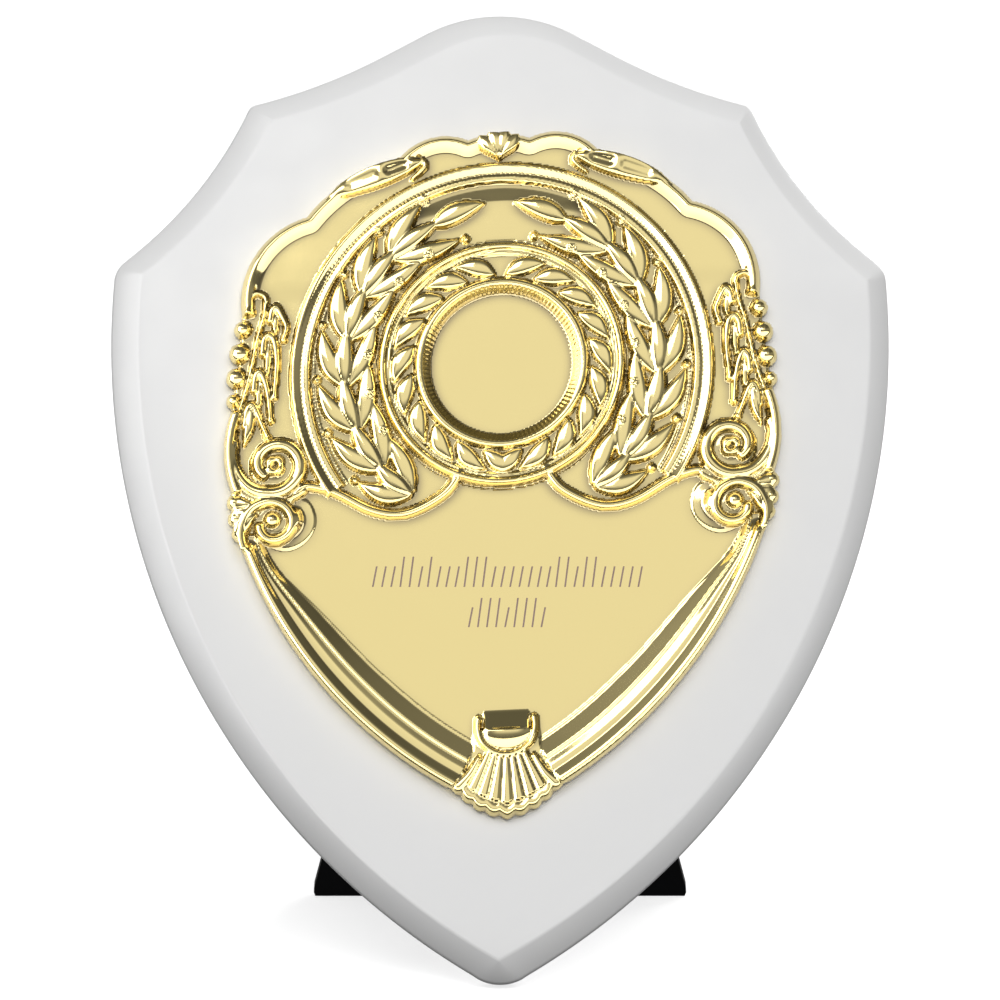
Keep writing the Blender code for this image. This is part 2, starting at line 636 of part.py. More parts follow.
def make_screws(parts, guides):
    """Two round-headed screws with a cross recess, through the bracket into the board."""
    seat = -TOUCH_GAP - BRACKET_THICKNESS - TOUCH_GAP
    profile = [(0.0, seat - SCREW_HEAD_HEIGHT), (0.5 * SCREW_HEAD_RADIUS, seat - 0.93 * SCREW_HEAD_HEIGHT),
               (0.85 * SCREW_HEAD_RADIUS, seat - 0.62 * SCREW_HEAD_HEIGHT), (SCREW_HEAD_RADIUS, seat - 0.15),
               (SCREW_HEAD_RADIUS, seat), (SCREW_SHANK_RADIUS, seat), (SCREW_SHANK_RADIUS, SCREW_LENGTH - 1.5),
               (0.0, SCREW_LENGTH - 0.2)]
    for name, rise in zip(("lower", "upper"), SCREW_HEIGHTS):
        screw = turned("bracket_screw_" + name, profile, [(0.0, 0.0, 1.0)], parts, 14)
        for number, reach in enumerate(((1.5, 0.28), (0.28, 1.5)), 1):
            slot = block(f"cross_{name}_{number}", (-reach[0], -reach[1], seat - SCREW_HEAD_HEIGHT - 1.0),
                         (reach[0], reach[1], seat - SCREW_HEAD_HEIGHT + 0.7), guides)
            slot.parent = screw
            combine(screw, slot, "DIFFERENCE")
        screw.location.y = rise * MM
        yield screw


def strut_angle():
    """The opening between board and strut, and the strut's length, from where its foot stands."""
    lean = radians(LEAN_BACK)
    hinge_y = HINGE_UP * sin(lean) + HINGE_BEHIND * cos(lean)
    hinge_z = HINGE_UP * cos(lean) - HINGE_BEHIND * sin(lean)
    tilt = atan2(FOOT_BEHIND_TIP - hinge_y, hinge_z)
    return degrees(tilt) + LEAN_BACK, hinge_z / cos(tilt)


def make_strut(parts, guides):
    """The leg: a tapered plate with rounded foot corners and a barrel between the bracket's lugs."""
    opening, length = strut_angle()
    foot_half = STRUT_FOOT_WIDTH / 2.0
    tilt = radians(opening - LEAN_BACK)
    drop = length + STRUT_THICKNESS / 2.0 * tan(tilt)
    top_half = foot_half - length * tan(radians(STRUT_TAPER))
    heel_half = KNUCKLE_LENGTH / 2.0
    waist = -KNUCKLE_RADIUS - 1.2
    side = [(top_half, waist), (foot_half, -drop)]
    floor_line = [(foot_half, -drop), (-foot_half, -drop)]
    right = rounded_corner(side, floor_line, STRUT_CORNER, 6)[:-1]
    right = [(heel_half, STRUT_HEEL), (heel_half, waist)] + right
    strut = prism("strut_leg", right + mirrored(right), -STRUT_THICKNESS / 2.0, STRUT_THICKNESS / 2.0, parts)
    barrel = cylinder_along_x("barrel", KNUCKLE_RADIUS, KNUCKLE_LENGTH - 0.02, guides)
    bore = cylinder_along_x("strut_bore", PIN_RADIUS + PIN_CLEARANCE, KNUCKLE_LENGTH + 4.0, guides)
    recess = [(top_half - 3.5, -16.0), (foot_half - 11.0, -drop + 14.0)]
    panel = prism("panel_recess", recess + mirrored(recess), -3.0, -STRUT_THICKNESS / 2.0 + 0.5, guides)
    for tool, operation in ((barrel, "UNION"), (bore, "DIFFERENCE"), (panel, "DIFFERENCE")):
        tool.parent = strut
        combine(strut, tool, operation)
    return strut


def make_floor(guides):
    """The space under the floor, which trims the strut's foot level."""
    return block("floor", (-80.0, -120.0, -40.0), (80.0, 160.0, 0.0), guides)


def frame_empty(name, parent=None):
    empty = bpy.data.objects.new(name, None)
    bpy.context.scene.collection.objects.link(empty)
    empty.parent = parent
    return empty


def hang_on(frame, items, floor):
    """Parent to a frame every item that has no parent yet."""
    for item in items:
        if item.parent is None and item is not floor:
            item.parent = frame


def footprint_middle(pieces):
    """The middle of the whole plaque from front to back."""
    graph = bpy.context.evaluated_depsgraph_get()
    depths = []
    for piece in pieces:
        finished = piece.evaluated_get(graph)
        depths += [(finished.matrix_world @ vert.co).y for vert in finished.data.vertices]
    return (min(depths) + max(depths)) / 2.0


def main():
    for item in list(bpy.data.objects):
        bpy.data.objects.remove(item)
    parts = fresh_collection("award_shield_plaque")
    guides = fresh_collection("guides")
    white = painted("white_paint", (0.86, 0.86, 0.85), 0.35)
    gold = painted("gold_plating", (0.83, 0.62, 0.24), 0.12, 1.0)
    black = painted("black_plastic", (0.012, 0.012, 0.013), 0.5)
    steel = painted("zinc_plated_steel", (0.55, 0.56, 0.58), 0.35, 1.0)

    plaque = frame_empty("plaque")
    lean = frame_empty("leaning_frame", plaque)
    lean.rotation_euler.x = radians(90.0 - LEAN_BACK)

    swing = frame_empty("strut_swing", lean)
    swing.location = (0.0, HINGE_UP * MM, -HINGE_BEHIND * MM)
    swing.rotation_euler.x = radians(strut_angle()[0])
    strut = make_strut(parts, guides)
    strut.parent = swing
    floor = make_floor(guides)
    combine(strut, floor, "DIFFERENCE")

    hinge = frame_empty("hinge_line", lean)
    hinge.location.y = HINGE_UP * MM
    bracket = make_bracket(parts, guides)
    pin = make_pin(parts)
    screws = list(make_screws(parts, guides))
    hang_on(hinge, [bracket, pin, *screws, *guides.objects], floor)

    board = make_board(parts, guides)
    hang_on(lean, [board, *guides.objects], floor)

    face = frame_empty("board_face", lean)
    face.location.z = (BOARD_THICKNESS + TOUCH_GAP) * MM
    front = make_front(parts, guides)
    hang_on(face, [front, *guides.objects], floor)

    for piece, material in ((board, white), (front, gold), (bracket, steel), (pin, steel), (strut, black),
                            *((screw, steel) for screw in screws)):
        piece.data.materials.clear()
        piece.data.materials.append(material)
    for piece in (front, pin, strut, bracket, *screws):
        piece.data.shade_smooth()
        piece.data.set_sharp_from_angle(angle=radians(35.0))
    bpy.context.view_layer.update()
    plaque.location.y = -footprint_middle([board, front, strut])
    bpy.context.view_layer.update()


main()
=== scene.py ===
import json
import math

import bmesh
import bpy
import numpy as np
from mathutils import Matrix, Vector


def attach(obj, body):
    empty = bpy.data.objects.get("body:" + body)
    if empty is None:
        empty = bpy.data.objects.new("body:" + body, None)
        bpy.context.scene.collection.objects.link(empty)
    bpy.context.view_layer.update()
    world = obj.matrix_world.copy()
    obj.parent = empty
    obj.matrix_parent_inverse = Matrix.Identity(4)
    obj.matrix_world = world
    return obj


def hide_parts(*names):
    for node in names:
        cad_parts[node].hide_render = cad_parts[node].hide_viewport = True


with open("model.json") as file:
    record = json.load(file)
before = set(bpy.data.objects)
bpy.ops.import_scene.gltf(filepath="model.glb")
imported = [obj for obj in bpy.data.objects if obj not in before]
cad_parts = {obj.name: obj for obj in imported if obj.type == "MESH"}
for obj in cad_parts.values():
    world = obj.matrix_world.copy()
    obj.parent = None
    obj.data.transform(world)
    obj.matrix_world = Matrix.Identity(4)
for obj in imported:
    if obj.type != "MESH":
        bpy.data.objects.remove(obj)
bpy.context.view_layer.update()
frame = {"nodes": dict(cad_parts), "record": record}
print("frame loaded")

mm = 0.001

# how the plaque stands; the strut's hinge in the record fixes where the board is
stance = {
    "leanBack": 15.0,                    # degrees
    "hingeOnBoard": (0.0, 110.0, -4.6),  # up the board, behind its back face
}

leanTurn = Matrix.Rotation(math.radians(90.0 - stance["leanBack"]), 4, "X")
hingePlace = Vector(frame["record"]["behaviour"]["joints"][0]["pos_m"])
hingeLeaned = leanTurn @ (Vector(stance["hingeOnBoard"]) * mm)
boardToWorld = Matrix.Translation(hingePlace - hingeLeaned) @ leanTurn


# plane geometry, in millimetres

def arcBy(centre, radius, start, end, count):
    angles = np.radians(np.linspace(start, end, count))
    return np.stack([centre[0] + radius * np.cos(angles), centre[1] + radius * np.sin(angles)], axis=1)


def angleFrom(centre, point):
    return math.degrees(math.atan2(point[1] - centre[1], point[0] - centre[0]))


def arcThrough(first, middle, last, count):
    (ax, ay), (bx, by), (cx, cy) = first, middle, last
    d = 2.0 * (ax * (by - cy) + bx * (cy - ay) + cx * (ay - by))
    a2, b2, c2 = ax * ax + ay * ay, bx * bx + by * by, cx * cx + cy * cy
    centre = ((a2 * (by - cy) + b2 * (cy - ay) + c2 * (ay - by)) / d,
              (a2 * (cx - bx) + b2 * (ax - cx) + c2 * (bx - ax)) / d)
    start, mid, end = (angleFrom(centre, point) for point in (first, middle, last))
    turn = (end - start) % 360.0
    if (mid - start) % 360.0 > turn:
        turn -= 360.0
    return arcBy(centre, math.hypot(ax - centre[0], ay - centre[1]), start, start + turn, count)


def circlesMeet(centreA, radiusA, centreB, radiusB, near):
    a, b = np.array(centreA), np.array(centreB)
    gap = np.linalg.norm(b - a)
    along = (b - a) / gap
    x = (gap * gap + radiusA ** 2 - radiusB ** 2) / (2.0 * gap)
    across = np.array((-along[1], along[0])) * math.sqrt(radiusA ** 2 - x * x)
    return min((a + along * x + across, a + along * x - across),
               key=lambda point: np.linalg.norm(point - np.array(near)))


def lengthsAlong(path):
    steps = np.linalg.norm(np.diff(path, axis=0), axis=1)
    return np.concatenate([[0.0], np.cumsum(steps)])


def resampled(path, count):
    s = lengthsAlong(path)
    t = np.linspace(0.0, s[-1], count)
    return np.stack([np.interp(t, s, path[:, 0]), np.interp(t, s, path[:, 1])], axis=1)


def smoothPath(points, perPiece=10):
    # a curve through the points, even-handed on both sides of each
    pts = np.array(points, dtype=float)
    ends = np.concatenate([[2 * pts[0] - pts[1]], pts, [2 * pts[-1] - pts[-2]]])
    t = np.linspace(0.0, 1.0, perPiece, endpoint=False)[:, None]
    pieces = []
    for a, b, c, d in zip(ends, ends[1:], ends[2:], ends[3:]):
        pieces.append(0.5 * (2 * b + (c - a) * t + (2 * a - 5 * b + 4 * c - d) * t ** 2
                             + (3 * b - a - 3 * c + d) * t ** 3))
    return np.concatenate(pieces + [pts[-1:]])


def flipped(path):
    return np.array(path)[::-1] * (-1.0, 1.0)


def newObject(name, data):
    made = bpy.data.objects.new(name, data)
    bpy.context.scene.collection.objects.link(made)
    return made


def addPiece(name, vertices, faces, material):
    # a piece of the shield, from points in board millimetres
    mesh = bpy.data.meshes.new(name)
    mesh.from_pydata([boardToWorld @ (Vector(vertex) * mm) for vertex in vertices], [], faces)
    mesh.validate()
    mesh.materials.append(material)
    piece = newObject(name, mesh)
    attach(piece, "shield")
    return piece


# materials

def linearColour(hexColour):
    values = [int(hexColour[i:i + 2], 16) / 255.0 for i in (1, 3, 5)]
    return [v / 12.92 if v <= 0.04045 else ((v + 0.055) / 1.055) ** 2.4 for v in values] + [1.0]


def addNode(tree, kind, settings=None, links=None):
    node = tree.nodes.new("ShaderNode" + kind)
    for key, value in (settings or {}).items():
        if isinstance(key, int) or key in node.inputs:
            node.inputs[key].default_value = value
        else:
            setattr(node, key, value)
    for key, source in (links or {}).items():
        tree.links.new(source, node.inputs[key])
    return node


def cloudedFinish(name, settings, look):
    # one noise of a real size moves the colour, and where the look says so the sheen and the height
    material = bpy.data.materials.new(name)
    material.use_nodes = True
    tree = material.node_tree
    shader = tree.nodes["Principled BSDF"]
    for key, value in settings.items():
        shader.inputs[key].default_value = value
    place = addNode(tree, "TexCoord").outputs["Object"]
    scale = 1.0 / (look["size"] * mm)
    cloud = addNode(tree, "TexNoise", {"Scale": scale, "Detail": look["detail"]},
                    {"Vector": place}).outputs["Fac"]
    first, second = (linearColour(colour) for colour in look["colours"])
    colour = addNode(tree, "Mix", {"data_type": "RGBA", 6: first, 7: second}, {0: cloud})
    tree.links.new(colour.outputs[2], shader.inputs["Base Color"])
    if "roughness" in look:
        least, most = look["roughness"]
        sheen = addNode(tree, "MapRange",
                        {"From Min": 0.3, "From Max": 0.7, "To Min": least, "To Max": most},
                        {"Value": cloud})
        tree.links.new(sheen.outputs["Result"], shader.inputs["Roughness"])
    if "bump" in look:
        strength, height = look["bump"]
        bump = addNode(tree, "Bump", {"Strength": strength, "Distance": height * mm},
                       {"Height": cloud})
        tree.links.new(bump.outputs["Normal"], shader.inputs["Normal"])
    return material, place, cloud, colour


enamelLook = {
    "size": 9.0,     # mm, flow marks left by the spray
    "detail": 2.0,
    "colours": ("#f4f4f3", "#efefef"),
    "roughness": (0.28, 0.38),
    "peelSize": 0.9,     # mm, orange peel
    "peel": (0.08, 0.05),   # strength, and height in mm
}


def satinEnamel():
    # sprayed satin enamel on fibreboard: an even white with a soft sheen and a trace of orange peel
    material, place, _, _ = cloudedFinish("satinWhiteEnamel", {"IOR": 1.5}, enamelLook)
    tree = material.node_tree
    peel = addNode(tree, "TexNoise", {"Scale": 1.0 / (enamelLook["peelSize"] * mm), "Detail": 1.0},
                   {"Vector": place}).outputs["Fac"]
    strength, height = enamelLook["peel"]
    bump = addNode(tree, "Bump", {"Strength": strength, "Distance": height * mm}, {"Height": peel})
    tree.links.new(bump.outputs["Normal"], tree.nodes["Principled BSDF"].inputs["Normal"])
    return material


goldLook = {
    "size": 6.0,     # mm, slight waves left by the forming
    "detail": 3.0,
    "colours": ("#e9d798", "#b5a67e"),   # bright, and a darker brown painted into the creases as shade
    "roughness": (0.055, 0.095),
    "ripple": (0.04, 0.3),   # strength, and height in mm
    "dotSize": 0.45,     # mm, punched dots at the leaf tips
    "dots": (0.9, 0.2),   # strength, and depth in mm
}


def metallisedGold():
    # vacuum-metallised gold on a thin moulding: a clean mirror with brown shade painted into its creases,
    # grainy at the leaf tips
    material, place, flow, colour = cloudedFinish("metallisedGold", {"Metallic": 1.0}, goldLook)
    tree = material.node_tree
    stipple = addNode(tree, "Attribute", {"attribute_name": "stipple"}).outputs["Fac"]
    hollow = addNode(tree, "Attribute", {"attribute_name": "hollow"}).outputs["Fac"]
    # painted shade: the hollow mask mixes the gold towards the darker brown where a place lies below its
    # surroundings
    tree.links.new(hollow, colour.inputs[0])
    dots = addNode(tree, "TexVoronoi", {"Scale": 1.0 / (goldLook["dotSize"] * mm)},
                   {"Vector": place}).outputs["Distance"]
    punched = addNode(tree, "Math", {"operation": "MULTIPLY"}, {0: stipple, 1: dots}).outputs[0]
    normal = None
    for (strength, height), source in ((goldLook["dots"], punched), (goldLook["ripple"], flow)):
        links = {"Height": source, "Normal": normal} if normal else {"Height": source}
        normal = addNode(tree, "Bump", {"Strength": strength, "Distance": height * mm},
                         links).outputs["Normal"]
    tree.links.new(normal, tree.nodes["Principled BSDF"].inputs["Normal"])
    return material


strokeLook = {"size": 1.5, "detail": 2.0, "colours": ("#8b7266", "#9c8577")}


def brownEnamel():
    # brown enamel filled into the strokes: flat and slightly mauve against the gold
    return cloudedFinish("brownEnamelFill", {"Roughness": 0.55, "IOR": 1.5}, strokeLook)[0]


absLook = {
    "size": 0.35,     # mm, spark-eroded grain, drawn coarser than the real one to show
    "detail": 3.0,
    "colours": ("#050506", "#0b0b0d"),
    "roughness": (0.45, 0.6),
    "bump": (0.35, 0.04),   # strength, and height in mm
}


def blackAbs():
    # moulded black ABS with a fine spark-eroded grain: soft grey highlights, no sheen
    return cloudedFinish("grainedBlackAbs", {"IOR": 1.53, "Specular IOR Level": 0.15}, absLook)[0]


zincLook = {
    "size": 3.0,     # mm, clouds in the plating
    "detail": 4.0,
    "colours": ("#b3b7bc", "#d3d5d8"),
    "roughness": (0.24, 0.4),
    "bump": (0.1, 0.03),   # strength, and height in mm
}


def zincPlate():
    # bright zinc on pressed steel: a cool grey metal with faint clouding
    return cloudedFinish("zincPlatedSteel", {"Metallic": 1.0}, zincLook)[0]


opalLook = {"size": 300.0, "detail": 1.0, "colours": ("#fbfbfb", "#fcfcfc"), "glow": 0.65}


def opalLightTable():
    # opal light table: even, glowing faintly from below, no texture that draws the eye
    settings = {"Roughness": 0.9, "Specular IOR Level": 0.1, "Emission Color": (1.0, 1.0, 1.0, 1.0),
                "Emission Strength": opalLook["glow"]}
    return cloudedFinish("opalLightTable", settings, opalLook)[0]


# the board

board = {
    "height": 178.0,
    "thickness": 10.0,
    "bevelStart": 5.8,      # how far up its thickness the bevel begins
    "bevelWidth": 4.5,
    "faceShift": (0.5, 0.0),
    "faceTurn": -0.5,       # degrees; the bevel was cut slightly askew
    "crestRadius": 29.0,
    "crestSlope": 28.3,
    "flankStraight": 8.8,
    "flankRadius": 105.0,
    "coveCentre": (116.4, 192.2),
    "coveRadius": 77.0,
    "sideCentre": (-63.2, 117.3),
    "sideRadius": 134.4,
    "cornerRadius": 1.8,
    "shoulderRadius": 5.0,
    "tipRadius": 8.3,
    "edgeSoftness": 0.35,
    "creaseAngle": 22.0,    # degrees; gentler turns are shaded smooth
}


def fillet(before, after, radius, count):
    # trims two paths back from their common corner and returns them with the round between
    corner = before[-1]
    inward = before[-1] - before[-2]
    outward = after[1] - after[0]
    inward, outward = inward / np.linalg.norm(inward), outward / np.linalg.norm(outward)
    turn = math.acos(float(np.clip(inward @ outward, -1.0, 1.0)))
    reach = radius * math.tan(turn / 2.0)
    a, b = corner - inward * reach, corner + outward * reach
    if radius < 0.05:
        return before, np.repeat(corner[None], count, axis=0), after
    bisector = (outward - inward) / np.linalg.norm(outward - inward)
    middle = corner + bisector * radius * (1.0 / math.cos(turn / 2.0) - 1.0)
    sb, sa = lengthsAlong(before), lengthsAlong(after)
    keptBefore = np.concatenate([before[sb < sb[-1] - reach], [a]])
    keptAfter = np.concatenate([[b], after[sa > reach]])
    return keptBefore, arcThrough(tuple(a), tuple(middle), tuple(b), count), keptAfter


def boardOutline(inset=0.0, rounding=1.0):
    # the shield's outline with the same number of points for any inset and rounding
    slope = math.radians(board["crestSlope"])
    down = np.array((math.cos(slope), -math.sin(slope)))
    out = np.array((math.sin(slope), math.cos(slope)))
    crestCentre = np.array((0.0, board["height"] - board["crestRadius"]))
    crest = arcBy(crestCentre, board["crestRadius"] - inset, 90.0, 90.0 - board["crestSlope"], 40)
    flankCentre = (crestCentre + out * board["crestRadius"] + down * board["flankStraight"]
                   + out * board["flankRadius"])
    cove, side = board["coveCentre"], board["sideCentre"]
    flankRadius, coveRadius = board["flankRadius"] + inset, board["coveRadius"] + inset
    sideRadius = board["sideRadius"] - inset
    corner = circlesMeet(flankCentre, flankRadius, cove, coveRadius, (46.0, 160.0))
    shoulder = circlesMeet(cove, coveRadius, side, sideRadius, (71.0, 130.0))
    flank = arcBy(flankCentre, flankRadius, 270.0 - board["crestSlope"],
                  angleFrom(flankCentre, corner) % 360.0, 60)
    coveArc = arcBy(cove, coveRadius, angleFrom(cove, corner) % 360.0,
                    angleFrom(cove, shoulder) % 360.0, 90)
    tipAngle = -math.degrees(math.acos(-side[0] / sideRadius))
    sideArc = arcBy(side, sideRadius, angleFrom(side, shoulder), tipAngle, 400)
    top = np.concatenate([crest, flank])
    top, cornerRound, coveArc = fillet(top, coveArc, board["cornerRadius"] * rounding, 7)
    coveArc, shoulderRound, sideArc = fillet(coveArc, sideArc, board["shoulderRadius"] * rounding, 9)
    sideArc, tipRound, _ = fillet(sideArc, flipped(sideArc), board["tipRadius"] * rounding, 15)
    half = np.concatenate([resampled(top, 46)[:-1], cornerRound, resampled(coveArc, 30)[1:-1],
                           shoulderRound, resampled(sideArc, 110)[1:-1], tipRound[:8]])
    return np.concatenate([half, flipped(half[1:-1])])


def askew(outline):
    turn = math.radians(board["faceTurn"])
    middle = board["height"] / 2.0
    x, y = outline[:, 0], outline[:, 1] - middle
    return np.stack([x * math.cos(turn) - y * math.sin(turn) + board["faceShift"][0],
                     y * math.cos(turn) + x * math.sin(turn) + middle + board["faceShift"][1]], axis=1)


def makeBoard(material):
    soft = board["edgeSoftness"]
    top, start, width = board["thickness"], board["bevelStart"], board["bevelWidth"]
    outer = boardOutline()
    edge = askew(boardOutline(width, 0.0))
    inner = askew(boardOutline(width + 1.2 * soft, 0.0))
    bevelLow = outer + (edge - outer) * (soft / width)
    bevelHigh = edge + (outer - edge) * (soft / width)
    rings = [(boardOutline(soft), 0.0), (boardOutline(soft * 0.3), soft * 0.3), (outer, soft),
             (outer, start - soft), ((outer * 0.7 + bevelLow * 0.3), start - soft * 0.2),
             (bevelLow, start + soft * 0.7), (bevelHigh, top - soft * 0.8),
             (edge * 0.8 + inner * 0.2, top - soft * 0.2), (inner, top)]
    count = len(outer)
    vertices = [(x, y, w) for ring, w in rings for x, y in ring]
    faces = []
    for level in range(len(rings) - 1):
        low, high = level * count, (level + 1) * count
        faces += [(low + (i + 1) % count, low + i, high + i, high + (i + 1) % count) for i in range(count)]
    faces.append(tuple(range(count)))
    faces.append(tuple(reversed(range((len(rings) - 1) * count, len(rings) * count))))
    piece = addPiece("painted_board", vertices, faces, material)
    bm = bmesh.new()
    bm.from_mesh(piece.data)
    bmesh.ops.remove_doubles(bm, verts=bm.verts, dist=0.00002)
    bmesh.ops.recalc_face_normals(bm, faces=bm.faces)
    bm.to_mesh(piece.data)
    bm.free()
    piece.data.shade_smooth()
    piece.data.set_sharp_from_angle(angle=math.radians(board["creaseAngle"]))
    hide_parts("shield_board")


# the gold front: worked out on a fine grid over the right half, and mirrored

gold = {
    "medallionOnBoard": (0.3, 111.55),
    "drawingLean": -0.0125,
    "drawingRise": 0.044,
    "standsOff": 10.3,      # mm, its back above the board's back
    "gridStep": 0.28,
    "joinedCells": ((16, 0.004), (8, 0.01), (4, 0.03), (2, 0.07)),   # cells a side, change of slope
    "halfWidth": 52.0,
    "lowest": -84.6,
    "highest": 46.0,
    "panel": 1.25,
    "well": 0.9,
    "field": 1.1,
    "stippleAndShadeChange": 0.04,     # joined cells are this even in stipple and in painted crease shade too
    "creaseReach": 0.9,     # mm round a point that it must lie below to be a crease
    # how strongly the painted crease shade deepens with depth below the surroundings
    "creaseShade": 1.6,
}

arcBand = {"centre": (0.0, -1.3), "radius": 38.5, "end": -34.5, "milling": 307}
upperVolute = (41.25, -17.05)
lowerVolute = (41.55, -27.5)
shellCentre = (0.0, -64.1)

sideBeads = [(46.9, 8.3, 1.65), (47.5, 3.9, 1.95), (48.1, -0.6, 1.95), (48.7, -4.8, 1.35)]
fanTips = [(48.5, -23.4, 1.5), (48.3, -26.4, 1.5), (47.6, -29.2, 1.5)]
lipPath = [(38.5, -23.5), (36.9, -21.6), (35.1, -21.0), (32.3, -21.6), (29.4, -22.8), (24.2, -25.7),
           (19.5, -26.8), (15.4, -26.0), (10.5, -23.2), (7.8, -19.6)]


def onBoard(p, q, h):
    u = gold["medallionOnBoard"][0] + p + gold["drawingLean"] * q
    v = gold["medallionOnBoard"][1] + q + gold["drawingRise"] * p
    return u, v, gold["standsOff"] + h


# the right half of the edge from crest to foot, without its beads: arcs through a point to an end
edge = {
    "start": (0.0, 42.6),
    "upper": [((3.0, 42.6), (5.6, 41.9), 8), ((12.0, 42.7), (18.6, 38.6), 30),
              ((27.6, 35.3), (35.2, 28.8), 30), ((43.7, 23.4), (47.1, 11.0), 36)],
    "side": [((47.8, 3.0), (49.3, -7.0), 12), ((50.55, -14.5), (49.2, -21.5), 20)],
    "lower": [((48.9, -26.5), (47.6, -31.2), 8), ((37.5, -51.3), (10.8, -76.6), 70)],
    "foot": [(4.5, -80.7), (-1.5, -84.6)],
}


def edgePath():
    # the edge's points, and how many come before the side and the lower mouldings
    point, path, ends = edge["start"], [edge["start"]], []
    for stretch in ("upper", "side", "lower"):
        for middle, last, count in edge[stretch]:
            path += list(arcThrough(point, middle, last, count)[1:])
            point = last
        ends.append(len(path))
    return np.array(path + edge["foot"]), ends[0], ends[1]


class Relief:
    # heights over the grid, how stippled each place is, and how far outside the piece, negative within it
    def __init__(self):
        step = gold["gridStep"]
        self.columns = np.arange(0.0, gold["halfWidth"] + step, step)
        self.rows = np.arange(gold["lowest"], gold["highest"] + step, step)
        self.ps, self.qs = np.meshgrid(self.columns, self.rows)
        self.high = np.zeros_like(self.ps)
        self.stipple = np.zeros_like(self.ps)
        self.outside = np.zeros_like(self.ps)

    def near(self, points, reach):
        pts = np.array(points)
        low, high = pts.min(axis=0) - reach, pts.max(axis=0) + reach
        cols = slice(*np.searchsorted(self.columns, (low[0], high[0])))
        rows = slice(*np.searchsorted(self.rows, (low[1], high[1])))
        return rows, cols

    def away(self, where, p, q):
        return np.hypot(self.ps[where] - p, self.qs[where] - q)

    def put(self, where, height):
        self.high = np.where(where, height, self.high)

    def raiseTo(self, where, height, soft=0.12):
        self.high[where] = softMax(self.high[where], height, soft)


def softMax(a, b, soft):
    overlap = np.clip(1.0 - np.abs(a - b) / soft, 0.0, 1.0)
    return np.maximum(a, b) + overlap ** 2 * soft * 0.25


def softStep(x, low, high):
    t = np.clip((x - low) / (high - low), 0.0, 1.0)
    return t * t * (3.0 - 2.0 * t)


def moulding(points, soft=0.09):
    # a section through a moulding: height against distance, its creases slightly eased
    xs = np.arange(points[0][0] - 1.0, points[-1][0] + 1.0, 0.02)
    ys = np.interp(xs, [x for x, _ in points], [y for _, y in points])
    kernel = np.exp(-0.5 * (np.arange(-0.4, 0.41, 0.02) / soft) ** 2)
    eased = np.convolve(np.pad(ys, 20, "edge"), kernel / kernel.sum(), "same")[20:-20]
    return lambda x: np.interp(x, xs, eased)


def distanceTo(ps, qs, path):
    # distance, place along the path, and the side: positive to the right of the way it runs
    best = np.full(ps.shape, 1e9)
    place = np.zeros(ps.shape)
    sideOf = np.zeros(ps.shape)
    s = lengthsAlong(path)
    for i in range(len(path) - 1):
        (ax, ay), (bx, by) = path[i], path[i + 1]
        dx, dy = bx - ax, by - ay
        length2 = dx * dx + dy * dy
        if length2 < 1e-12:
            continue
        t = np.clip(((ps - ax) * dx + (qs - ay) * dy) / length2, 0.0, 1.0)
        ox, oy = ps - ax - t * dx, qs - ay - t * dy
        d2 = ox * ox + oy * oy
        closer = d2 < best
        best = np.where(closer, d2, best)
        place = np.where(closer, s[i] + t * (s[i + 1] - s[i]), place)
        sideOf = np.where(closer, dy * (ps - ax) - dx * (qs - ay), sideOf)
    return np.sqrt(best), place, np.where(sideOf >= 0.0, 1.0, -1.0)


def addRib(grid, path, halfWidth, top, foot, tapers=(1.0, 1.0), soft=0.12):
    # a rounded rib along a path, its width changing evenly from end to end
    path = np.array(path)
    where = grid.near(path, halfWidth * max(tapers) + 0.6)
    d, place, _ = distanceTo(grid.ps[where], grid.qs[where], path)
    share = place / lengthsAlong(path)[-1]
    width = halfWidth * np.interp(share, np.linspace(0.0, 1.0, len(tapers)), tapers)
    x = d / width
    rise = (top - foot) * np.minimum(width / halfWidth, 1.0) ** 0.5
    height = np.where(x < 1.0, foot + rise * np.sqrt(np.clip(1.0 - x * x, 0.0, 1.0)),
                      foot - 5.0 * (d - width))
    grid.raiseTo(where, height, soft)


def addDome(grid, p, q, radius, top, foot, soft=0.1):
    where = grid.near([(p, q)], radius + 0.6)
    d = grid.away(where, p, q)
    x = np.clip(d / radius, 0.0, 1.0)
    height = foot + (top - foot) * np.sqrt(1.0 - x * x) - 5.0 * np.clip(d - radius, 0.0, None)
    grid.raiseTo(where, height, soft)


def addLeaf(grid, base, tip, width, top, edge, bow=0.0, widest=0.45, soft=0.08, flat=0.88):
    # a keeled leaf: widest part way along, bowed to the left of the way from base to tip
    base, tip = np.array(base, dtype=float), np.array(tip, dtype=float)
    length = np.linalg.norm(tip - base)
    along = (tip - base) / length
    where = grid.near([base, tip], width + abs(bow) + 0.6)
    x, y = grid.ps[where] - base[0], grid.qs[where] - base[1]
    t = (x * along[0] + y * along[1]) / length
    c = -x * along[1] + y * along[0]
    inside = np.clip(t, 0.0, 1.0)
    c = c - bow * 4.0 * inside * (1.0 - inside)
    sharpness = math.log(0.5) / math.log(widest)
    half = width / 2.0 * np.sin(np.pi * inside ** sharpness) ** 0.85 + 1e-4
    share = np.abs(c) / half
    keel = np.sin(np.pi * np.clip(inside * 0.86 + 0.1, 0.0, 1.0)) ** 0.4
    flank = (1.0 - share) * (1.0 - flat) + flat * np.sqrt(np.clip(1.0 - share ** 5, 0.0, 1.0))
    height = edge + (top - edge) * keel * flank
    beyond = np.hypot(np.clip(np.abs(c) - half, 0.0, None), (t - inside) * length)
    height = np.where(share > 1.0, edge, height) - 6.0 * beyond
    grid.raiseTo(where, height, soft)


def addGrain(grid, spot, radius):
    where = grid.near([spot], radius + 0.5)
    d = grid.away(where, *spot)
    grid.stipple[where] = np.maximum(grid.stipple[where], 1.0 - softStep(d, radius * 0.6, radius))


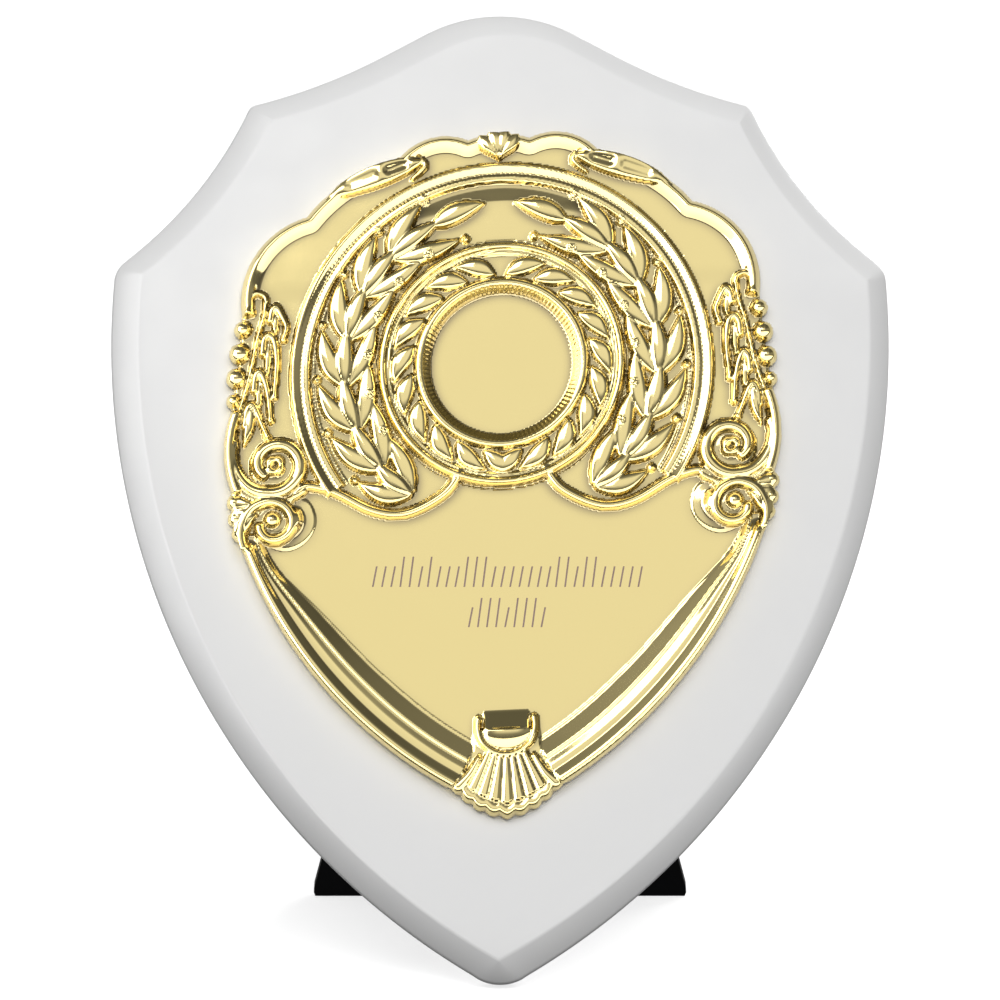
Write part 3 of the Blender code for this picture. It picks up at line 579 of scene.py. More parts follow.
def polar(radius, angle):
    # on the left half, angles from the right, mirrored onto the half that is worked out
    return (-radius * math.cos(math.radians(angle)), radius * math.sin(math.radians(angle)))


def onCircle(centre, radius, angle):
    turn = math.radians(angle)
    return centre[0] + radius * math.cos(turn), centre[1] + radius * math.sin(turn)


def spiralPath(centre, start, sweep, radii, count=60):
    # radii at even steps along the way, joined smoothly
    share = np.linspace(0.0, 1.0, count)
    angle = np.radians(start + sweep * share)
    radius = np.interp(share, np.linspace(0.0, 1.0, len(radii)), radii)
    return np.stack([centre[0] + radius * np.cos(angle), centre[1] + radius * np.sin(angle)], axis=1)


# sections through the rims: distance in from the edge, and height
rims = {
    "upper": [(0.0, 0.6), (0.1, 1.3), (0.9, 2.8), (1.15, 3.0), (1.5, 2.95), (3.0, 1.7), (3.3, 1.5)],
    "side": [(0.0, 0.6), (0.1, 2.2), (0.5, 3.1), (1.1, 3.5), (1.8, 3.1), (2.3, 2.0), (2.5, 1.25)],
    "lower": [(0.0, 0.6), (0.1, 2.0), (0.45, 3.05), (1.1, 3.5), (1.75, 3.35), (1.95, 3.2), (3.05, 2.5),
              (3.2, 2.5), (4.25, 2.5), (4.4, 2.45), (5.65, 2.05), (5.75, 2.15), (6.0, 2.45), (6.25, 2.35),
              (9.1, 1.2), (9.3, 1.3), (9.7, 1.1)],
    "edge": 0.6,            # height of the thin edge under the beads and fans
    "rowStart": 40.0,       # the beads and fans lie beyond this far from the middle
}

# the lower mouldings draw together towards the scrolls, all but the outermost roll
lowerMouldings = {
    "fullWidth": 9.7,
    "roll": 1.5,
    "levels": (-58.0, -49.2, -44.8, -40.8, -37.8, -34.3, -30.0),
    "widths": (9.7, 9.0, 8.2, 6.9, 5.3, 4.4, 4.0),
}


def shapeEdges(grid):
    path, upperEnd, sideEnd = edgePath()
    d, place, side = distanceTo(grid.ps, grid.qs, path)
    inward = d * side
    grid.outside = -inward
    for p, q, radius in sideBeads + fanTips:
        grid.outside = np.minimum(grid.outside, np.hypot(grid.ps - p, grid.qs - q) - radius)
    s = lengthsAlong(path)
    toSide = softStep(place, s[upperEnd - 1] - 1.5, s[upperEnd - 1] + 0.5)
    toLower = softStep(place, s[sideEnd - 1] + 8.0, s[sideEnd - 1] + 11.0)
    height = (moulding(rims["upper"])(inward) * (1.0 - toSide)
              + moulding(rims["side"])(inward) * toSide * (1.0 - toLower))
    levels = np.linspace(-64.0, -28.0, 73)
    widths = np.interp(levels, lowerMouldings["levels"], lowerMouldings["widths"])
    widths = np.convolve(np.pad(widths, 5, mode="edge"), np.ones(11) / 11.0, mode="valid")
    roll = lowerMouldings["roll"]
    drawn = (lowerMouldings["fullWidth"] - roll) / (np.interp(grid.qs, levels, widths) - roll)
    grid.inBands = np.where(inward < roll, inward, roll + (inward - roll) * drawn)
    grid.high = height + moulding(rims["lower"], 0.06)(grid.inBands) * toLower
    grid.inward = inward
    outer = grid.ps > rims["rowStart"]
    beadRow = softStep(grid.qs, -7.2, -6.2) * softStep(grid.qs, 11.2, 10.4) * (inward < 3.0) * outer
    fanRow = softStep(grid.qs, -33.0, -30.0) * softStep(grid.qs, -21.6, -22.4) * (inward < 3.2) * outer
    for row, rise in ((beadRow, 0.65), (fanRow, 0.9)):
        ledge = rims["edge"] + np.clip(inward * 1.5, 0.0, rise)
        grid.high = grid.high * (1.0 - row) + ledge * row


def shapeGrounds(grid):
    # the levels inside the rims: field below, well inside the big arc, panel beside it
    ps, qs = grid.ps, grid.qs
    fromArc = arcBand["radius"] - np.hypot(ps - arcBand["centre"][0], qs - arcBand["centre"][1])
    lip = smoothPath(lipPath)
    lipLevel = np.interp(ps, lip[::-1, 0], lip[::-1, 1])
    below = (qs < lipLevel) & ((grid.inBands > lowerMouldings["fullWidth"] - 0.1) | (qs > -29.3))
    grid.put(below, gold["field"])
    well = (fromArc > 0.0) & (qs > lipLevel)
    # under the crown of the arc the well's ground slopes gently down from the arc
    crown = 0.2 * np.clip(7.0 - fromArc, 0.0, 2.5) * softStep(qs, 25.0, 30.0)
    grid.put(well, gold["well"] + crown)
    panel = (fromArc < 0.0) & (ps > 30.0) & (grid.inward > 2.4) & (qs > np.maximum(lipLevel, -24.0))
    drop = softStep(qs, 17.0, 13.0)
    grid.put(panel & (qs < 17.0), grid.high * (1.0 - drop) + gold["panel"] * drop)
    grid.fromArc = fromArc


# place, half width and height of the milled and the crimped line
arcLines = ((2.15, 0.2, 0.07), (4.3, 0.22, 0.1))
# section through the arc's band, inwards from its outer edge
arcSection = [(-0.1, 0.5), (0.05, 1.6), (0.2, 2.4), (0.55, 2.85), (0.95, 2.75), (1.15, 2.55), (2.05, 2.05),
              (2.2, 2.0), (2.4, 2.35), (3.4, 2.4), (3.55, 2.25), (3.8, 1.05), (4.0, 0.95), (4.2, 1.15),
              (4.45, 1.15), (4.65, 0.9)]


def shapeArc(grid):
    section = moulding(arcSection, 0.05)
    x = grid.fromArc
    angle = np.arctan2(grid.qs - arcBand["centre"][1], grid.ps - arcBand["centre"][0])
    where = (x > -0.3) & (x < 4.8) & (angle > math.radians(arcBand["end"]))
    wave = np.cos(angle * arcBand["milling"])
    height = section(x)
    for place, halfWidth, rise in arcLines:
        height = height + rise * wave * np.exp(-0.5 * ((x - place) / halfWidth) ** 2)
    grid.put(where, softMax(grid.high, height, 0.1))


medallion = {
    "outer": 22.5,
    "knurls": 107,
    "knurlAt": (13.6, 0.38, 0.2),   # radius, half width and height
    "leaves": 10,
    "firstLeaf": 93.0,      # degrees, as the two below
    "leafStep": 18.3,
    "leafTurn": 22.0,
    "leafFrom": 16.2,
    "leafTo": 19.8,
}

# section through the medallion, outwards from its middle
medallionSection = [(12.7, 1.1), (13.0, 1.12), (13.15, 1.6), (14.1, 2.75), (14.25, 3.1), (14.55, 3.35),
                    (15.05, 3.4), (15.5, 3.1), (15.75, 2.4), (15.9, 1.75), (20.05, 1.8), (20.15, 2.1),
                    (20.45, 2.45), (20.75, 2.15), (20.9, 2.0), (21.1, 2.6), (21.6, 3.05), (22.1, 2.7),
                    (22.4, 1.9), (22.6, 0.6)]


def shapeMedallion(grid):
    section = moulding(medallionSection, 0.06)
    ps, qs = grid.ps, grid.qs
    r = np.hypot(ps, qs)
    radius, halfWidth, rise = medallion["knurlAt"]
    wave = np.cos(np.arctan2(qs, ps) * medallion["knurls"])
    knurl = wave * np.exp(-0.5 * ((r - radius) / halfWidth) ** 2)
    grid.put(r < medallion["outer"] + 0.3, section(r) + rise * knurl)
    for number in range(medallion["leaves"]):
        angle = medallion["firstLeaf"] + medallion["leafStep"] * number
        tip = polar(medallion["leafTo"], angle + medallion["leafTurn"])
        addLeaf(grid, polar(medallion["leafFrom"], angle), tip, 3.3, 3.0, 1.95, bow=0.8)


laurel = {
    "first": 115.0,         # degrees, the first tip, from the left and over the top
    "step": 17.2,
    "nodes": 7,
    "stem": 28.5,
    # shift from the stem, reach and turn of the tip, width, top, edge and bow of a node's three leaves
    "leaves": ((0.3, 33.5, 0.0, 3.7, 2.65, 1.3, -0.9), (-0.4, 24.4, -8.5, 3.5, 2.5, 1.3, 0.5),
               (0.0, 28.9, -3.0, 3.4, 2.9, 1.4, -0.5)),
    "berries": ((33.6, -1.2), (24.2, -10.0)),
}


def shapeLaurel(grid):
    stem = [polar(laurel["stem"] - 0.2, a) for a in np.linspace(118.0, 232.0, 40)]
    addRib(grid, stem, 0.55, 1.9, 1.0)
    addLeaf(grid, polar(28.6, 116.0), (2.6, 29.9), 3.9, 2.7, 1.2, bow=-0.6)
    for node in range(laurel["nodes"]):
        tipAngle = laurel["first"] + laurel["step"] * node
        low = min(tipAngle + 20.0, 235.0)
        for shift, reach, turn, width, top, edgeHeight, bow in laurel["leaves"]:
            base, tip = polar(laurel["stem"] + shift, low), polar(reach, tipAngle + turn)
            addLeaf(grid, base, tip, width, top, edgeHeight, bow=bow)
        for radius, turn in laurel["berries"]:
            spot = polar(radius, tipAngle + turn)
            addDome(grid, *spot, 0.75, 1.9, 0.9)
            addGrain(grid, spot, 1.1)


festoon = {
    "stem": [(42.7, 13.4), (43.1, 10.4), (44.4, 5.9), (45.3, 1.4), (46.5, -3.4), (48.0, -8.2), (48.6, -11.5),
             (48.6, -14.5), (48.1, -17.5), (47.2, -19.8), (45.4, -22.0)],
    "crook": [(45.6, 12.2), (45.8, 13.5), (45.3, 14.4), (44.2, 14.8), (43.0, 14.3), (42.6, 13.2)],
    "husks": [[(42.0, 9.6), (41.6, 11.4), (40.8, 12.1), (39.7, 10.2), (39.0, 8.3), (39.6, 6.0)],
              [(43.4, 3.6), (43.1, 6.0), (42.2, 7.0), (41.2, 5.8), (40.8, 2.0), (41.3, -4.4)],
              [(45.0, -3.1), (44.7, -0.7), (43.9, 0.3), (42.9, -1.7), (42.3, -4.7), (42.0, -8.7)],
              [(46.7, -9.5), (46.3, -7.0), (45.4, -5.7), (44.4, -7.2), (43.3, -9.9), (42.6, -11.6)]],
    # base, tip, width and top of each kernel inside a husk
    "kernels": [((41.0, 11.4), (41.0, 6.8), 1.4, 2.3), ((42.2, 6.2), (42.6, -1.0), 1.3, 2.2),
                ((43.9, -0.6), (44.2, -7.5), 1.3, 2.2)],
}


def shapeFestoon(grid):
    addRib(grid, smoothPath(festoon["stem"]), 0.45, 2.5, 1.2)
    addRib(grid, smoothPath(festoon["crook"]), 0.55, 2.6, 1.3)
    for arch in festoon["husks"]:
        addRib(grid, smoothPath(arch), 0.6, 2.8, 1.3, (1.1, 1.3, 1.0, 0.8))
        addDome(grid, *arch[-1], 0.7, 2.7, 1.3)
    addLeaf(grid, (45.4, -5.6), (46.9, -13.4), 2.0, 2.9, 1.4, bow=-0.3)
    for base, tip, width, top in festoon["kernels"]:
        addLeaf(grid, base, tip, width, top, 1.4)


volutes = {
    # the smooth shoulder that falls from the lower scroll to the field, and its section in two easy steps
    "shoulder": [(37.3, -22.6), (35.4, -23.4), (34.3, -24.9), (33.8, -27.2), (34.4, -29.4), (35.9, -31.2),
                 (38.0, -32.3), (40.2, -32.4), (42.3, -31.6), (43.6, -30.4)],
    "fall": [(-0.1, 1.1), (0.0, 1.1), (0.3, 1.35), (1.8, 1.5), (2.1, 1.6), (3.3, 3.0), (3.6, 3.1),
             (5.0, 3.1)],
    "shoulderWidth": 5.0,
    "shoulderTop": -22.6,
    # radii of the scrolls' ribs at even steps along them
    "upper": (8.2, 6.5, 5.15, 4.7, 4.55, 4.15, 3.6, 3.2, 2.6),
    "trough": (7.9, 7.1, 6.6, 6.7, 7.2),
    "lower": (6.9, 5.3, 4.3, 3.7, 3.5, 3.4, 3.2, 3.0, 2.6),
}


def shapeShoulder(grid):
    path = smoothPath(volutes["shoulder"])
    width = volutes["shoulderWidth"]
    where = grid.near(path, width + 0.2)
    d, place, side = distanceTo(grid.ps[where], grid.qs[where], path)
    total = lengthsAlong(path)[-1]
    inside = ((side < 0.0) & (d < width) & (place > 0.05) & (place < total - 0.05)
              & (grid.qs[where] < volutes["shoulderTop"]))
    below = np.where(d < 3.0, 0.0, grid.high[where])
    fall = moulding(volutes["fall"], 0.06)(d)
    grid.high[where] = np.where(inside, np.maximum(fall, below), grid.high[where])


def shapeVolutes(grid):
    bed = moulding([(0.0, 2.0), (2.2, 1.9), (3.0, 1.8), (4.2, 1.8), (5.2, 1.5)])
    for centre, reach in ((upperVolute, 4.6), (lowerVolute, 3.6)):
        where = grid.near([centre], reach)
        r = grid.away(where, *centre)
        grid.high[where] = np.where(r < reach, bed(r * 5.0 / reach), grid.high[where])
    upper = spiralPath(upperVolute, 34.0, -434.0, volutes["upper"])
    addRib(grid, upper, 1.45, 3.5, 1.5, (0.3, 0.75, 0.95, 0.95, 0.9, 0.85, 0.7))
    addRib(grid, spiralPath(upperVolute, -28.0, -110.0, volutes["trough"]), 0.6, 2.7, 1.4)
    for turn in range(4):
        addDome(grid, *onCircle(upperVolute, 0.85, 45.0 + 90.0 * turn), 1.2, 3.2, 1.7)
    where = grid.near([upperVolute], 1.2)
    r = grid.away(where, *upperVolute)
    grid.high[where] -= 1.5 * np.exp(-0.5 * (r / 0.5) ** 2)
    for p, q, radius in fanTips:
        addLeaf(grid, (43.4, -24.6 + (q + 26.3) * 0.1), (p + 1.3, q), 3.0, 3.2, 1.5, widest=0.72)
        addDome(grid, p, q, radius, 3.1, 1.0)
    lower = spiralPath(lowerVolute, -38.0, 384.0, volutes["lower"])
    addRib(grid, lower, 1.15, 3.5, 1.6, (0.85, 1.0, 0.9, 0.8))
    addDome(grid, lowerVolute[0] + 0.2, lowerVolute[1] + 0.6, 1.5, 3.3, 1.6)


crest = {
    "leaflets": ((52.0, 5.9), (78.0, 6.3), (102.0, 6.3), (128.0, 5.9)),    # angle, length
    "curl": [(13.9, 38.1), (13.5, 37.2), (14.4, 36.0), (15.8, 34.9)],
    # path, half width and depth of the hollows pressed into the long leaf
    "hollows": (([(17.4, 37.4), (20.2, 36.5)], 0.6, 0.55), ([(23.0, 35.7), (27.0, 34.2)], 0.7, 0.35)),
}


def shapeCrest(grid):
    for angle, reach in crest["leaflets"]:
        addLeaf(grid, (0.0, 37.6), onCircle((0.0, 37.8), reach, angle), 2.7, 3.6, 2.3, widest=0.66)
    addLeaf(grid, (13.7, 38.0), (31.8, 31.5), 4.8, 3.4, 2.1, bow=1.0, flat=0.8)
    addRib(grid, smoothPath(crest["curl"]), 0.6, 3.1, 1.6, (1.0, 1.0, 0.5))
    for hollow, halfWidth, depth in crest["hollows"]:
        where = grid.near(hollow, 2.0)
        d = distanceTo(grid.ps[where], grid.qs[where], np.array(hollow))[0]
        grid.high[where] -= depth * np.exp(-0.5 * (d / halfWidth) ** 2)


foot = {
    "shellTop": 10.0,       # radii from the shell's centre
    "shellHalfAngle": 41.0,
    # the shell's reach against the bearing from straight down
    "bearings": (0.0, 10.0, 20.0, 30.0, 36.0, 42.0),
    "reaches": (18.1, 17.6, 17.0, 16.2, 16.1, 16.4),
    "scallop": 0.5,
    "scallopPitch": 8.9,
    "border": [(0.0, 0.6), (0.15, 1.3), (0.55, 2.3), (1.1, 2.7), (1.8, 2.65), (2.9, 2.3), (3.2, 2.2)],
    "flutes": 7,
    "fanAngle": 59.0,
    "wing": ((9.0, -56.5), (12.5, -57.0), (15.2, -55.0)),   # radius and angle of the rib beside the fan
    "cupTop": -63.3,
    "bowlTop": -66.6,
    "bowlHalfWidth": 4.7,
    "bowlDepth": 3.9,
    "cupRim": [(5.0, -64.6), (5.1, -66.4), (4.5, -68.6), (3.0, -70.2), (1.2, -71.0), (-0.5, -71.1)],
}


def shapeFoot(grid):
    ps, qs = grid.ps, grid.qs
    down = shellCentre[1] - qs
    r, bearing = np.hypot(ps, down), np.degrees(np.arctan2(ps, down))
    # smooth ground on which the cup and shell stand, where the mouldings stop
    ground = (ps < 6.0 + np.clip(-70.0 - qs, 0.0, 5.0) * 0.45) & (qs < -63.2) & (r < 15.0)
    grid.put(ground, gold["field"] + 0.8 * softStep(-qs, 65.0, 72.0))
    # the shell's border, its edge scalloped
    scallops = foot["scallop"] * np.abs(np.cos(np.pi * bearing / foot["scallopPitch"]))
    reach = (np.interp(bearing, foot["bearings"], foot["reaches"])
             + scallops * np.interp(bearing, (32.0, foot["shellHalfAngle"]), (1.0, 0.0)))
    plate = (bearing < foot["shellHalfAngle"]) & (r > foot["shellTop"])
    grid.outside = np.where(plate, r - reach, grid.outside)
    onBorder = (bearing < 38.0) & (r > reach - 3.6) & (r > 12.0)
    grid.put(onBorder, moulding(foot["border"])(reach - r))
    # flutes
    pitch = foot["fanAngle"] / foot["flutes"]
    t = np.abs((bearing + pitch / 2.0) % pitch - pitch / 2.0) / (pitch / 2.0)
    flute = 2.2 + 0.6 * np.clip(1.0 - t ** 3.5, 0.0, 1.0) + 0.02 * (r - 7.0)
    fanEdge = foot["fanAngle"] / 2.0
    inFan = (bearing < fanEdge) & (r > 6.2) & (r < np.interp(bearing, (0.0, fanEdge), (15.8, 14.4)))
    grid.put(inFan, flute)
    wing = [onCircle(shellCentre, *point) for point in foot["wing"]]
    addRib(grid, smoothPath(wing), 0.9, 3.0, 1.9, (0.6, 1.3))
    # cup: a sloping back above, a rounded bowl below, and a raised lip around it
    fallen = np.clip(foot["bowlTop"] - qs, 0.0, None) / foot["bowlDepth"]
    bowl = np.clip(1.0 - (ps / foot["bowlHalfWidth"]) ** 2 - fallen ** 2, 0.0, 1.0)
    inBowl = (bowl > 0.0) & (qs < -66.4) & (qs > -70.8)
    grid.put(inBowl, 2.0 + 1.5 * np.sqrt(bowl))
    back = (ps < 4.1) & (qs < foot["cupTop"]) & (qs >= -66.4)
    grid.put(back, 1.2 + (foot["cupTop"] - qs) * 0.55)
    addRib(grid, smoothPath(foot["cupRim"]), 0.6, 3.1, 1.9)


def blurred(values, steps):
    # a plain running mean, three times over, near enough to a soft blur
    wide = 2 * steps
    for _ in range(3):
        for axis in (0, 1):
            margins = [(steps * (side == axis),) * 2 for side in (0, 1)]
            sums = np.cumsum(np.pad(values, margins, mode="edge"), axis)
            values = (np.take(sums, range(wide, sums.shape[axis]), axis)
                      - np.take(sums, range(0, sums.shape[axis] - wide), axis)) / wide
    return values


def workOutRelief():
    grid = Relief()
    shapeEdges(grid)
    shapeGrounds(grid)
    shapeArc(grid)
    shapeLaurel(grid)
    shapeMedallion(grid)
    addRib(grid, smoothPath(lipPath), 1.1, 2.7, 1.0, (0.8, 0.9))
    shapeFestoon(grid)
    shapeShoulder(grid)
    shapeVolutes(grid)
    for p, q, radius in sideBeads:
        addDome(grid, p, q, radius, 3.5, 0.8)
    shapeCrest(grid)
    shapeFoot(grid)
    # painted shade: how far each place lies below its blurred surroundings, which darkens the gold's colour
    # in creases
    steps = max(1, round(gold["creaseReach"] / gold["gridStep"]))
    below = blurred(grid.high, steps) - grid.high
    grid.hollow = np.clip(below * gold["creaseShade"], 0.0, 1.0)
    return grid


def mirroredGrid(values):
    return np.concatenate([values[:, :0:-1], values], axis=1)


def joinCells(kept, slopes, stippleAndShade):
    # even ground needs few faces: its cells join into square blocks that keep
    # the edge points their unjoined neighbours use
    single = kept.copy()
    blocks = []
    for size, change in gold["joinedCells"]:
        rows, cols = kept.shape[0] // size, kept.shape[1] // size
        whole = np.zeros((rows + 2, cols + 2), dtype=bool)
        for r in range(rows):
            for c in range(cols):
                y, x = r * size, c * size
                patch = (slice(y, y + size + 1), slice(x, x + size + 1))
                whole[r + 1, c + 1] = (single[y:y + size, x:x + size].all()
                                       and all(np.ptp(slope[patch]) < change for slope in slopes)
                                       and all(np.ptp(stippleOrShade[patch]) < gold["stippleAndShadeChange"] for stippleOrShade in stippleAndShade))
        across = kept.shape[1] + 1
        for r, c in np.argwhere(whole):
            y, x = (r - 1) * size, (c - 1) * size
            corners = ((y, x), (y, x + size), (y + size, x + size), (y + size, x))
            ways = ((0, 1), (1, 0), (0, -1), (-1, 0))
            beyond = ((-1, 0), (0, 1), (1, 0), (0, -1))
            block = []
            for (row, col), (stepRow, stepCol), (outRow, outCol) in zip(corners, ways, beyond):
                joined = whole[r + outRow, c + outCol]
                for k in range(1 if joined else size):
                    block.append(int((row + k * stepRow) * across + col + k * stepCol))
            blocks.append(block)
            single[y:y + size, x:x + size] = False
    return blocks, single


def makeGoldFront(material):
    grid = workOutRelief()
    print("relief worked out")
    step = gold["gridStep"]
    heights, outside = mirroredGrid(grid.high), mirroredGrid(grid.outside)
    stipple, hollow = mirroredGrid(grid.stipple), mirroredGrid(grid.hollow)
    ps = np.concatenate([-grid.ps[:, :0:-1], grid.ps], axis=1)
    qs = mirroredGrid(grid.qs)
    slopeQ, slopeP = np.gradient(heights, step)
    outQ, outP = np.gradient(outside, step)
    centres = (outside[:-1, :-1] + outside[1:, :-1] + outside[:-1, 1:] + outside[1:, 1:]) / 4.0
    kept = centres < 0.25 * step
    length2 = np.maximum(outP ** 2 + outQ ** 2, 0.2)
    pull = np.where(outside > -0.4 * step, outside, 0.0)
    ps, qs = ps - pull * outP / length2, qs - pull * outQ / length2
    blocks, single = joinCells(kept, (slopeP, slopeQ), (stipple, hollow))
    across = heights.shape[1]
    first = np.arange(heights.size).reshape(heights.shape)[:-1, :-1][single]
    quads = first[:, None] + np.array((0, 1, across + 1, across))
    used = np.zeros(heights.size, dtype=bool)
    used[quads.ravel()] = True
    used[[corner for block in blocks for corner in block]] = True
    index = np.cumsum(used) - 1
    used = used.reshape(heights.shape)
    quads = index[quads]
    blocks = [index[np.array(block)].tolist() for block in blocks]
    top = np.stack(onBoard(ps[used], qs[used], heights[used]), axis=1)
    around = [pair for block in blocks for pair in zip(block, block[1:] + block[:1])]
    edges = np.concatenate([quads[:, [side, (side + 1) % 4]] for side in range(4)] + [np.array(around)])
    key = np.sort(edges, axis=1)
    code = key[:, 0].astype(np.int64) * (len(top) + 1) + key[:, 1]
    _, first, counts = np.unique(code, return_index=True, return_counts=True)
    rim = edges[first[counts == 1]]
    rimPoints = np.unique(rim)
    lowered = np.full(len(top), -1)
    lowered[rimPoints] = len(top) + np.arange(len(rimPoints))
    bottom = top[rimPoints].copy()
    bottom[:, 2] = gold["standsOff"]
    walls = np.stack([rim[:, 1], rim[:, 0], lowered[rim[:, 0]], lowered[rim[:, 1]]], axis=1)
    vertices = np.concatenate([top, bottom])
    matrix = np.array(boardToWorld)
    world = vertices * mm @ matrix[:3, :3].T + matrix[:3, 3]
    mesh = bpy.data.meshes.new("gold_relief")
    mesh.from_pydata(world.tolist(), [], quads.tolist() + blocks + walls.tolist())
    for name, values in (("stipple", stipple), ("hollow", hollow)):
        attribute = mesh.attributes.new(name, "FLOAT", "POINT")
        data = np.zeros(len(vertices), dtype=np.float32)
        data[:len(top)] = values[used]
        attribute.data.foreach_set("value", data)
    normals = np.stack([-slopeP, -slopeQ, np.ones_like(heights)], axis=2)[used]
    normals /= np.linalg.norm(normals, axis=1)[:, None]
    normals = normals @ matrix[:3, :3].T
    mesh.shade_smooth()
    loops = np.zeros(len(mesh.loops), dtype=int)
    mesh.loops.foreach_get("vertex_index", loops)
    custom = np.zeros((len(loops), 3))
    topLoops = len(quads) * 4 + sum(len(block) for block in blocks)
    custom[:topLoops] = normals[loops[:topLoops]]
    mesh.normals_split_custom_set(custom.tolist())
    mesh.materials.append(material)
    piece = newObject("gold_relief", mesh)
    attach(piece, "shield")
    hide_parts("gold_front")
    print("gold front:", len(mesh.loops) - 2 * len(mesh.polygons), "triangles")


strokes = {
    "rows": ((1.35, 73.5, 49.5, 5.5), (1.26, 66.1, 14.7, 5.3)),   # board x and y, width, height
    "pitch": 1.6,
    "line": 0.31,
    "lean": 0.7,
    "depth": 0.03,
    "tallShare": 0.4,
    "short": 0.68,          # a short stroke's height against a tall one's
}


def makeStrokes(material):
    # plain leaning strokes in two rows, no letters
    rng = np.random.default_rng(7)
    vertices, faces = [], []
    base = gold["standsOff"] + gold["field"]
    for cx, cy, width, height in strokes["rows"]:
        count = int(width / strokes["pitch"])
        for number in range(count):
            x = cx - width / 2.0 + (number + 0.5) * width / count
            tall = height * (1.0 if rng.random() < strokes["tallShare"] else strokes["short"])
            low = cy - height / 2.0
            for side in (-1.0, 1.0):
                for y, shift in ((low, -strokes["lean"] / 2), (low + tall, strokes["lean"] / 2)):
                    for w in (base - 0.05, base + strokes["depth"]):
                        vertices.append((x + shift + side * strokes["line"] / 2.0, y, w))
            n = len(vertices) - 8
            faces += [tuple(n + i for i in face) for face in
                      ((1, 3, 7, 5), (0, 4, 6, 2), (0, 1, 5, 4), (2, 6, 7, 3), (0, 2, 3, 1), (4, 5, 7, 6))]
    piece = addPiece("field_strokes", vertices, faces, material)


# strut and hinge

def dressNode(name, material, softness):
    node = frame["nodes"][name]
    node.data.materials.clear()
    node.data.materials.append(material)
    bevel = node.modifiers.new("softEdges", "BEVEL")
    bevel.width = softness * mm
    bevel.segments = 2
    bevel.limit_method = "ANGLE"
    bevel.angle_limit = math.radians(35.0)
    bevel.harden_normals = True


# studio

studio = {
    "lens": 159.04,
    "sensor": 36.0,
    "floorReach": 400.0,    # metres; so large that its far edge meets the room's white
    "distance": 800.0,
    "elevation": 6.5,
    "aimOnBoard": (0.0, 86.8, 10.0),
    # place and the point it faces in metres, width and height, watts; the cards are for the metal alone
    "lights": {
        "keySoftbox": ((-0.5, -1.3, 1.1), (0.0, 0.0, 0.1), 0.8, 0.6, 5.0, True),
        "leftCard": ((-1.1, -0.55, 0.35), (0.0, 0.0, 0.1), 1.2, 1.4, 24.0, False),
        "tableCard": ((0.0, -0.42, 0.006), (0.0, -0.42, 1.0), 1.4, 0.7, 7.0, False),
        "backSoftbox": ((0.75, 1.3, 0.75), (0.0, 0.0, 0.1), 0.8, 0.5, 7.0, True),
    },
    # soft daylight for matt surfaces alone: elevation and side in degrees, strength, softness
    "frontFill": (40.0, 16.0, 1.4, 40.0),
    # the room's brightness against height, from straight down at -1 to overhead at 1
    "shades": {
        "front": ((-1.0, 0.1), (0.0, 0.15), (0.14, 0.3), (0.26, 1.0), (0.58, 1.05), (0.72, 0.3),
                  (1.0, 0.12)),
        "left": ((-1.0, 0.1), (0.0, 0.12), (0.1, 0.22), (0.6, 0.42), (0.8, 0.35), (1.0, 0.12)),
        "right": ((-1.0, 0.1), (0.0, 0.15), (0.1, 0.3), (0.4, 0.25), (0.52, 0.12), (1.0, 0.1)),
        "back": ((-1.0, 0.1), (0.0, 0.4), (0.1, 0.3), (0.22, 0.22), (1.0, 0.12)),
    },
    # where the front wall gives way to each other one: axis, and the directions between which it turns
    "turns": {"left": ("X", -0.22, -0.45), "right": ("X", 0.3, 0.55), "back": ("Y", 0.15, 0.45)},
}


def makeFloor():
    mesh = bpy.data.meshes.new("studio_floor")
    reach = studio["floorReach"]
    mesh.from_pydata([(-reach, -reach, 0), (reach, -reach, 0), (reach, reach, 0), (-reach, reach, 0)], [],
                     [(0, 1, 2, 3)])
    mesh.materials.append(opalLightTable())
    floor = newObject("studio_floor", mesh)
    floor.visible_diffuse = False   # keeps its glow off the board's lower bevels
    floor.visible_glossy = False


def makeCamera():
    aim = boardToWorld @ (Vector(studio["aimOnBoard"]) * mm)
    up = math.radians(studio["elevation"])
    distance = studio["distance"] * mm
    data = bpy.data.cameras.new("photo_camera")
    data.lens = studio["lens"]
    data.sensor_width = studio["sensor"]
    camera = newObject("photo_camera", data)
    camera.location = aim + Vector((0.0, -distance * math.cos(up), distance * math.sin(up)))
    camera.rotation_euler = (math.radians(90.0) - up, 0.0, 0.0)
    bpy.context.scene.camera = camera


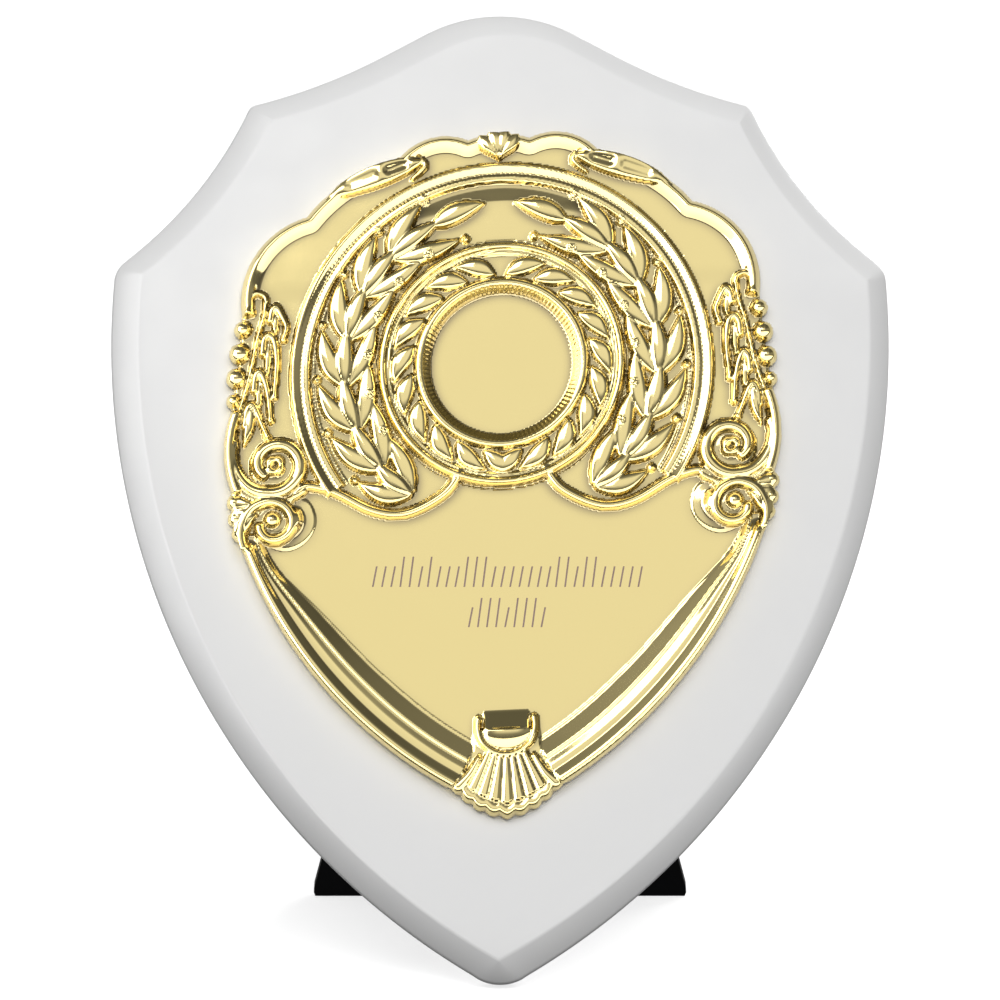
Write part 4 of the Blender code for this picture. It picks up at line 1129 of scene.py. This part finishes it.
def makeLights():
    for name, (place, facing, across, tall, power, onMatt) in studio["lights"].items():
        data = bpy.data.lights.new(name, "AREA")
        data.shape = "RECTANGLE"
        data.size, data.size_y, data.energy = across, tall, power
        lamp = newObject(name, data)
        lamp.location = place
        lamp.visible_diffuse = onMatt
        lamp.visible_camera = False
        lamp.rotation_euler = (Vector(facing) - Vector(place)).to_track_quat("-Z", "Y").to_euler()
    elevation, toSide, strength, softness = studio["frontFill"]
    data = bpy.data.lights.new("frontFill", "SUN")
    data.energy, data.angle = strength, math.radians(softness)
    fill = newObject("frontFill", data)
    fill.rotation_euler = (math.radians(90.0 - elevation), 0.0, math.radians(toSide))
    fill.visible_glossy = False


def makeRoom():
    world = bpy.data.worlds.new("studio_world")
    bpy.context.scene.world = world
    world.use_nodes = True
    tree = world.node_tree
    look = addNode(tree, "TexCoord").outputs["Generated"]
    parts = addNode(tree, "SeparateXYZ", None, {"Vector": look})
    height = addNode(tree, "MapRange", {"From Min": -1.0}, {"Value": parts.outputs["Z"]})
    walls = {}
    for side, stops in studio["shades"].items():
        # a ramp holds nothing over 1, so it is scaled by its brightest stop
        ramp = addNode(tree, "ValToRGB", None, {"Fac": height.outputs["Result"]})
        brightest = max(level for _, level in stops)
        points = ramp.color_ramp.elements
        while len(points) < len(stops):
            points.new(0.5)
        for point, (where, level) in zip(points, stops):
            point.position = (where + 1.0) / 2.0
            point.color = (level / brightest,) * 3 + (1.0,)
        walls[side] = addNode(tree, "MapRange", {"To Max": brightest},
                              {"Value": ramp.outputs["Color"]})
    level = walls["front"].outputs["Result"]
    for side, (axis, low, high) in studio["turns"].items():
        share = addNode(tree, "MapRange", {"From Min": low, "From Max": high},
                        {"Value": parts.outputs[axis]})
        level = addNode(tree, "Mix", {"data_type": "FLOAT"},
                        {0: share.outputs["Result"], 2: level, 3: walls[side].outputs["Result"]}).outputs[0]
    background = tree.nodes["Background"]
    background.inputs["Color"].default_value = (1.0, 1.0, 1.0, 1.0)
    tree.links.new(level, background.inputs["Strength"])
    bpy.context.scene.view_settings.view_transform = "Standard"


makeBoard(satinEnamel())
print("board made")
makeGoldFront(metallisedGold())
makeStrokes(brownEnamel())
print("strokes made")
zinc = zincPlate()
for nodeName in ("hinge_bracket", "hinge_pin", "bracket_screw_upper", "bracket_screw_lower"):
    dressNode(nodeName, zinc, 0.15)
dressNode("strut_leg", blackAbs(), 0.4)
print("strut and hinge dressed")
makeFloor()
makeCamera()
makeLights()
makeRoom()
print("studio set")
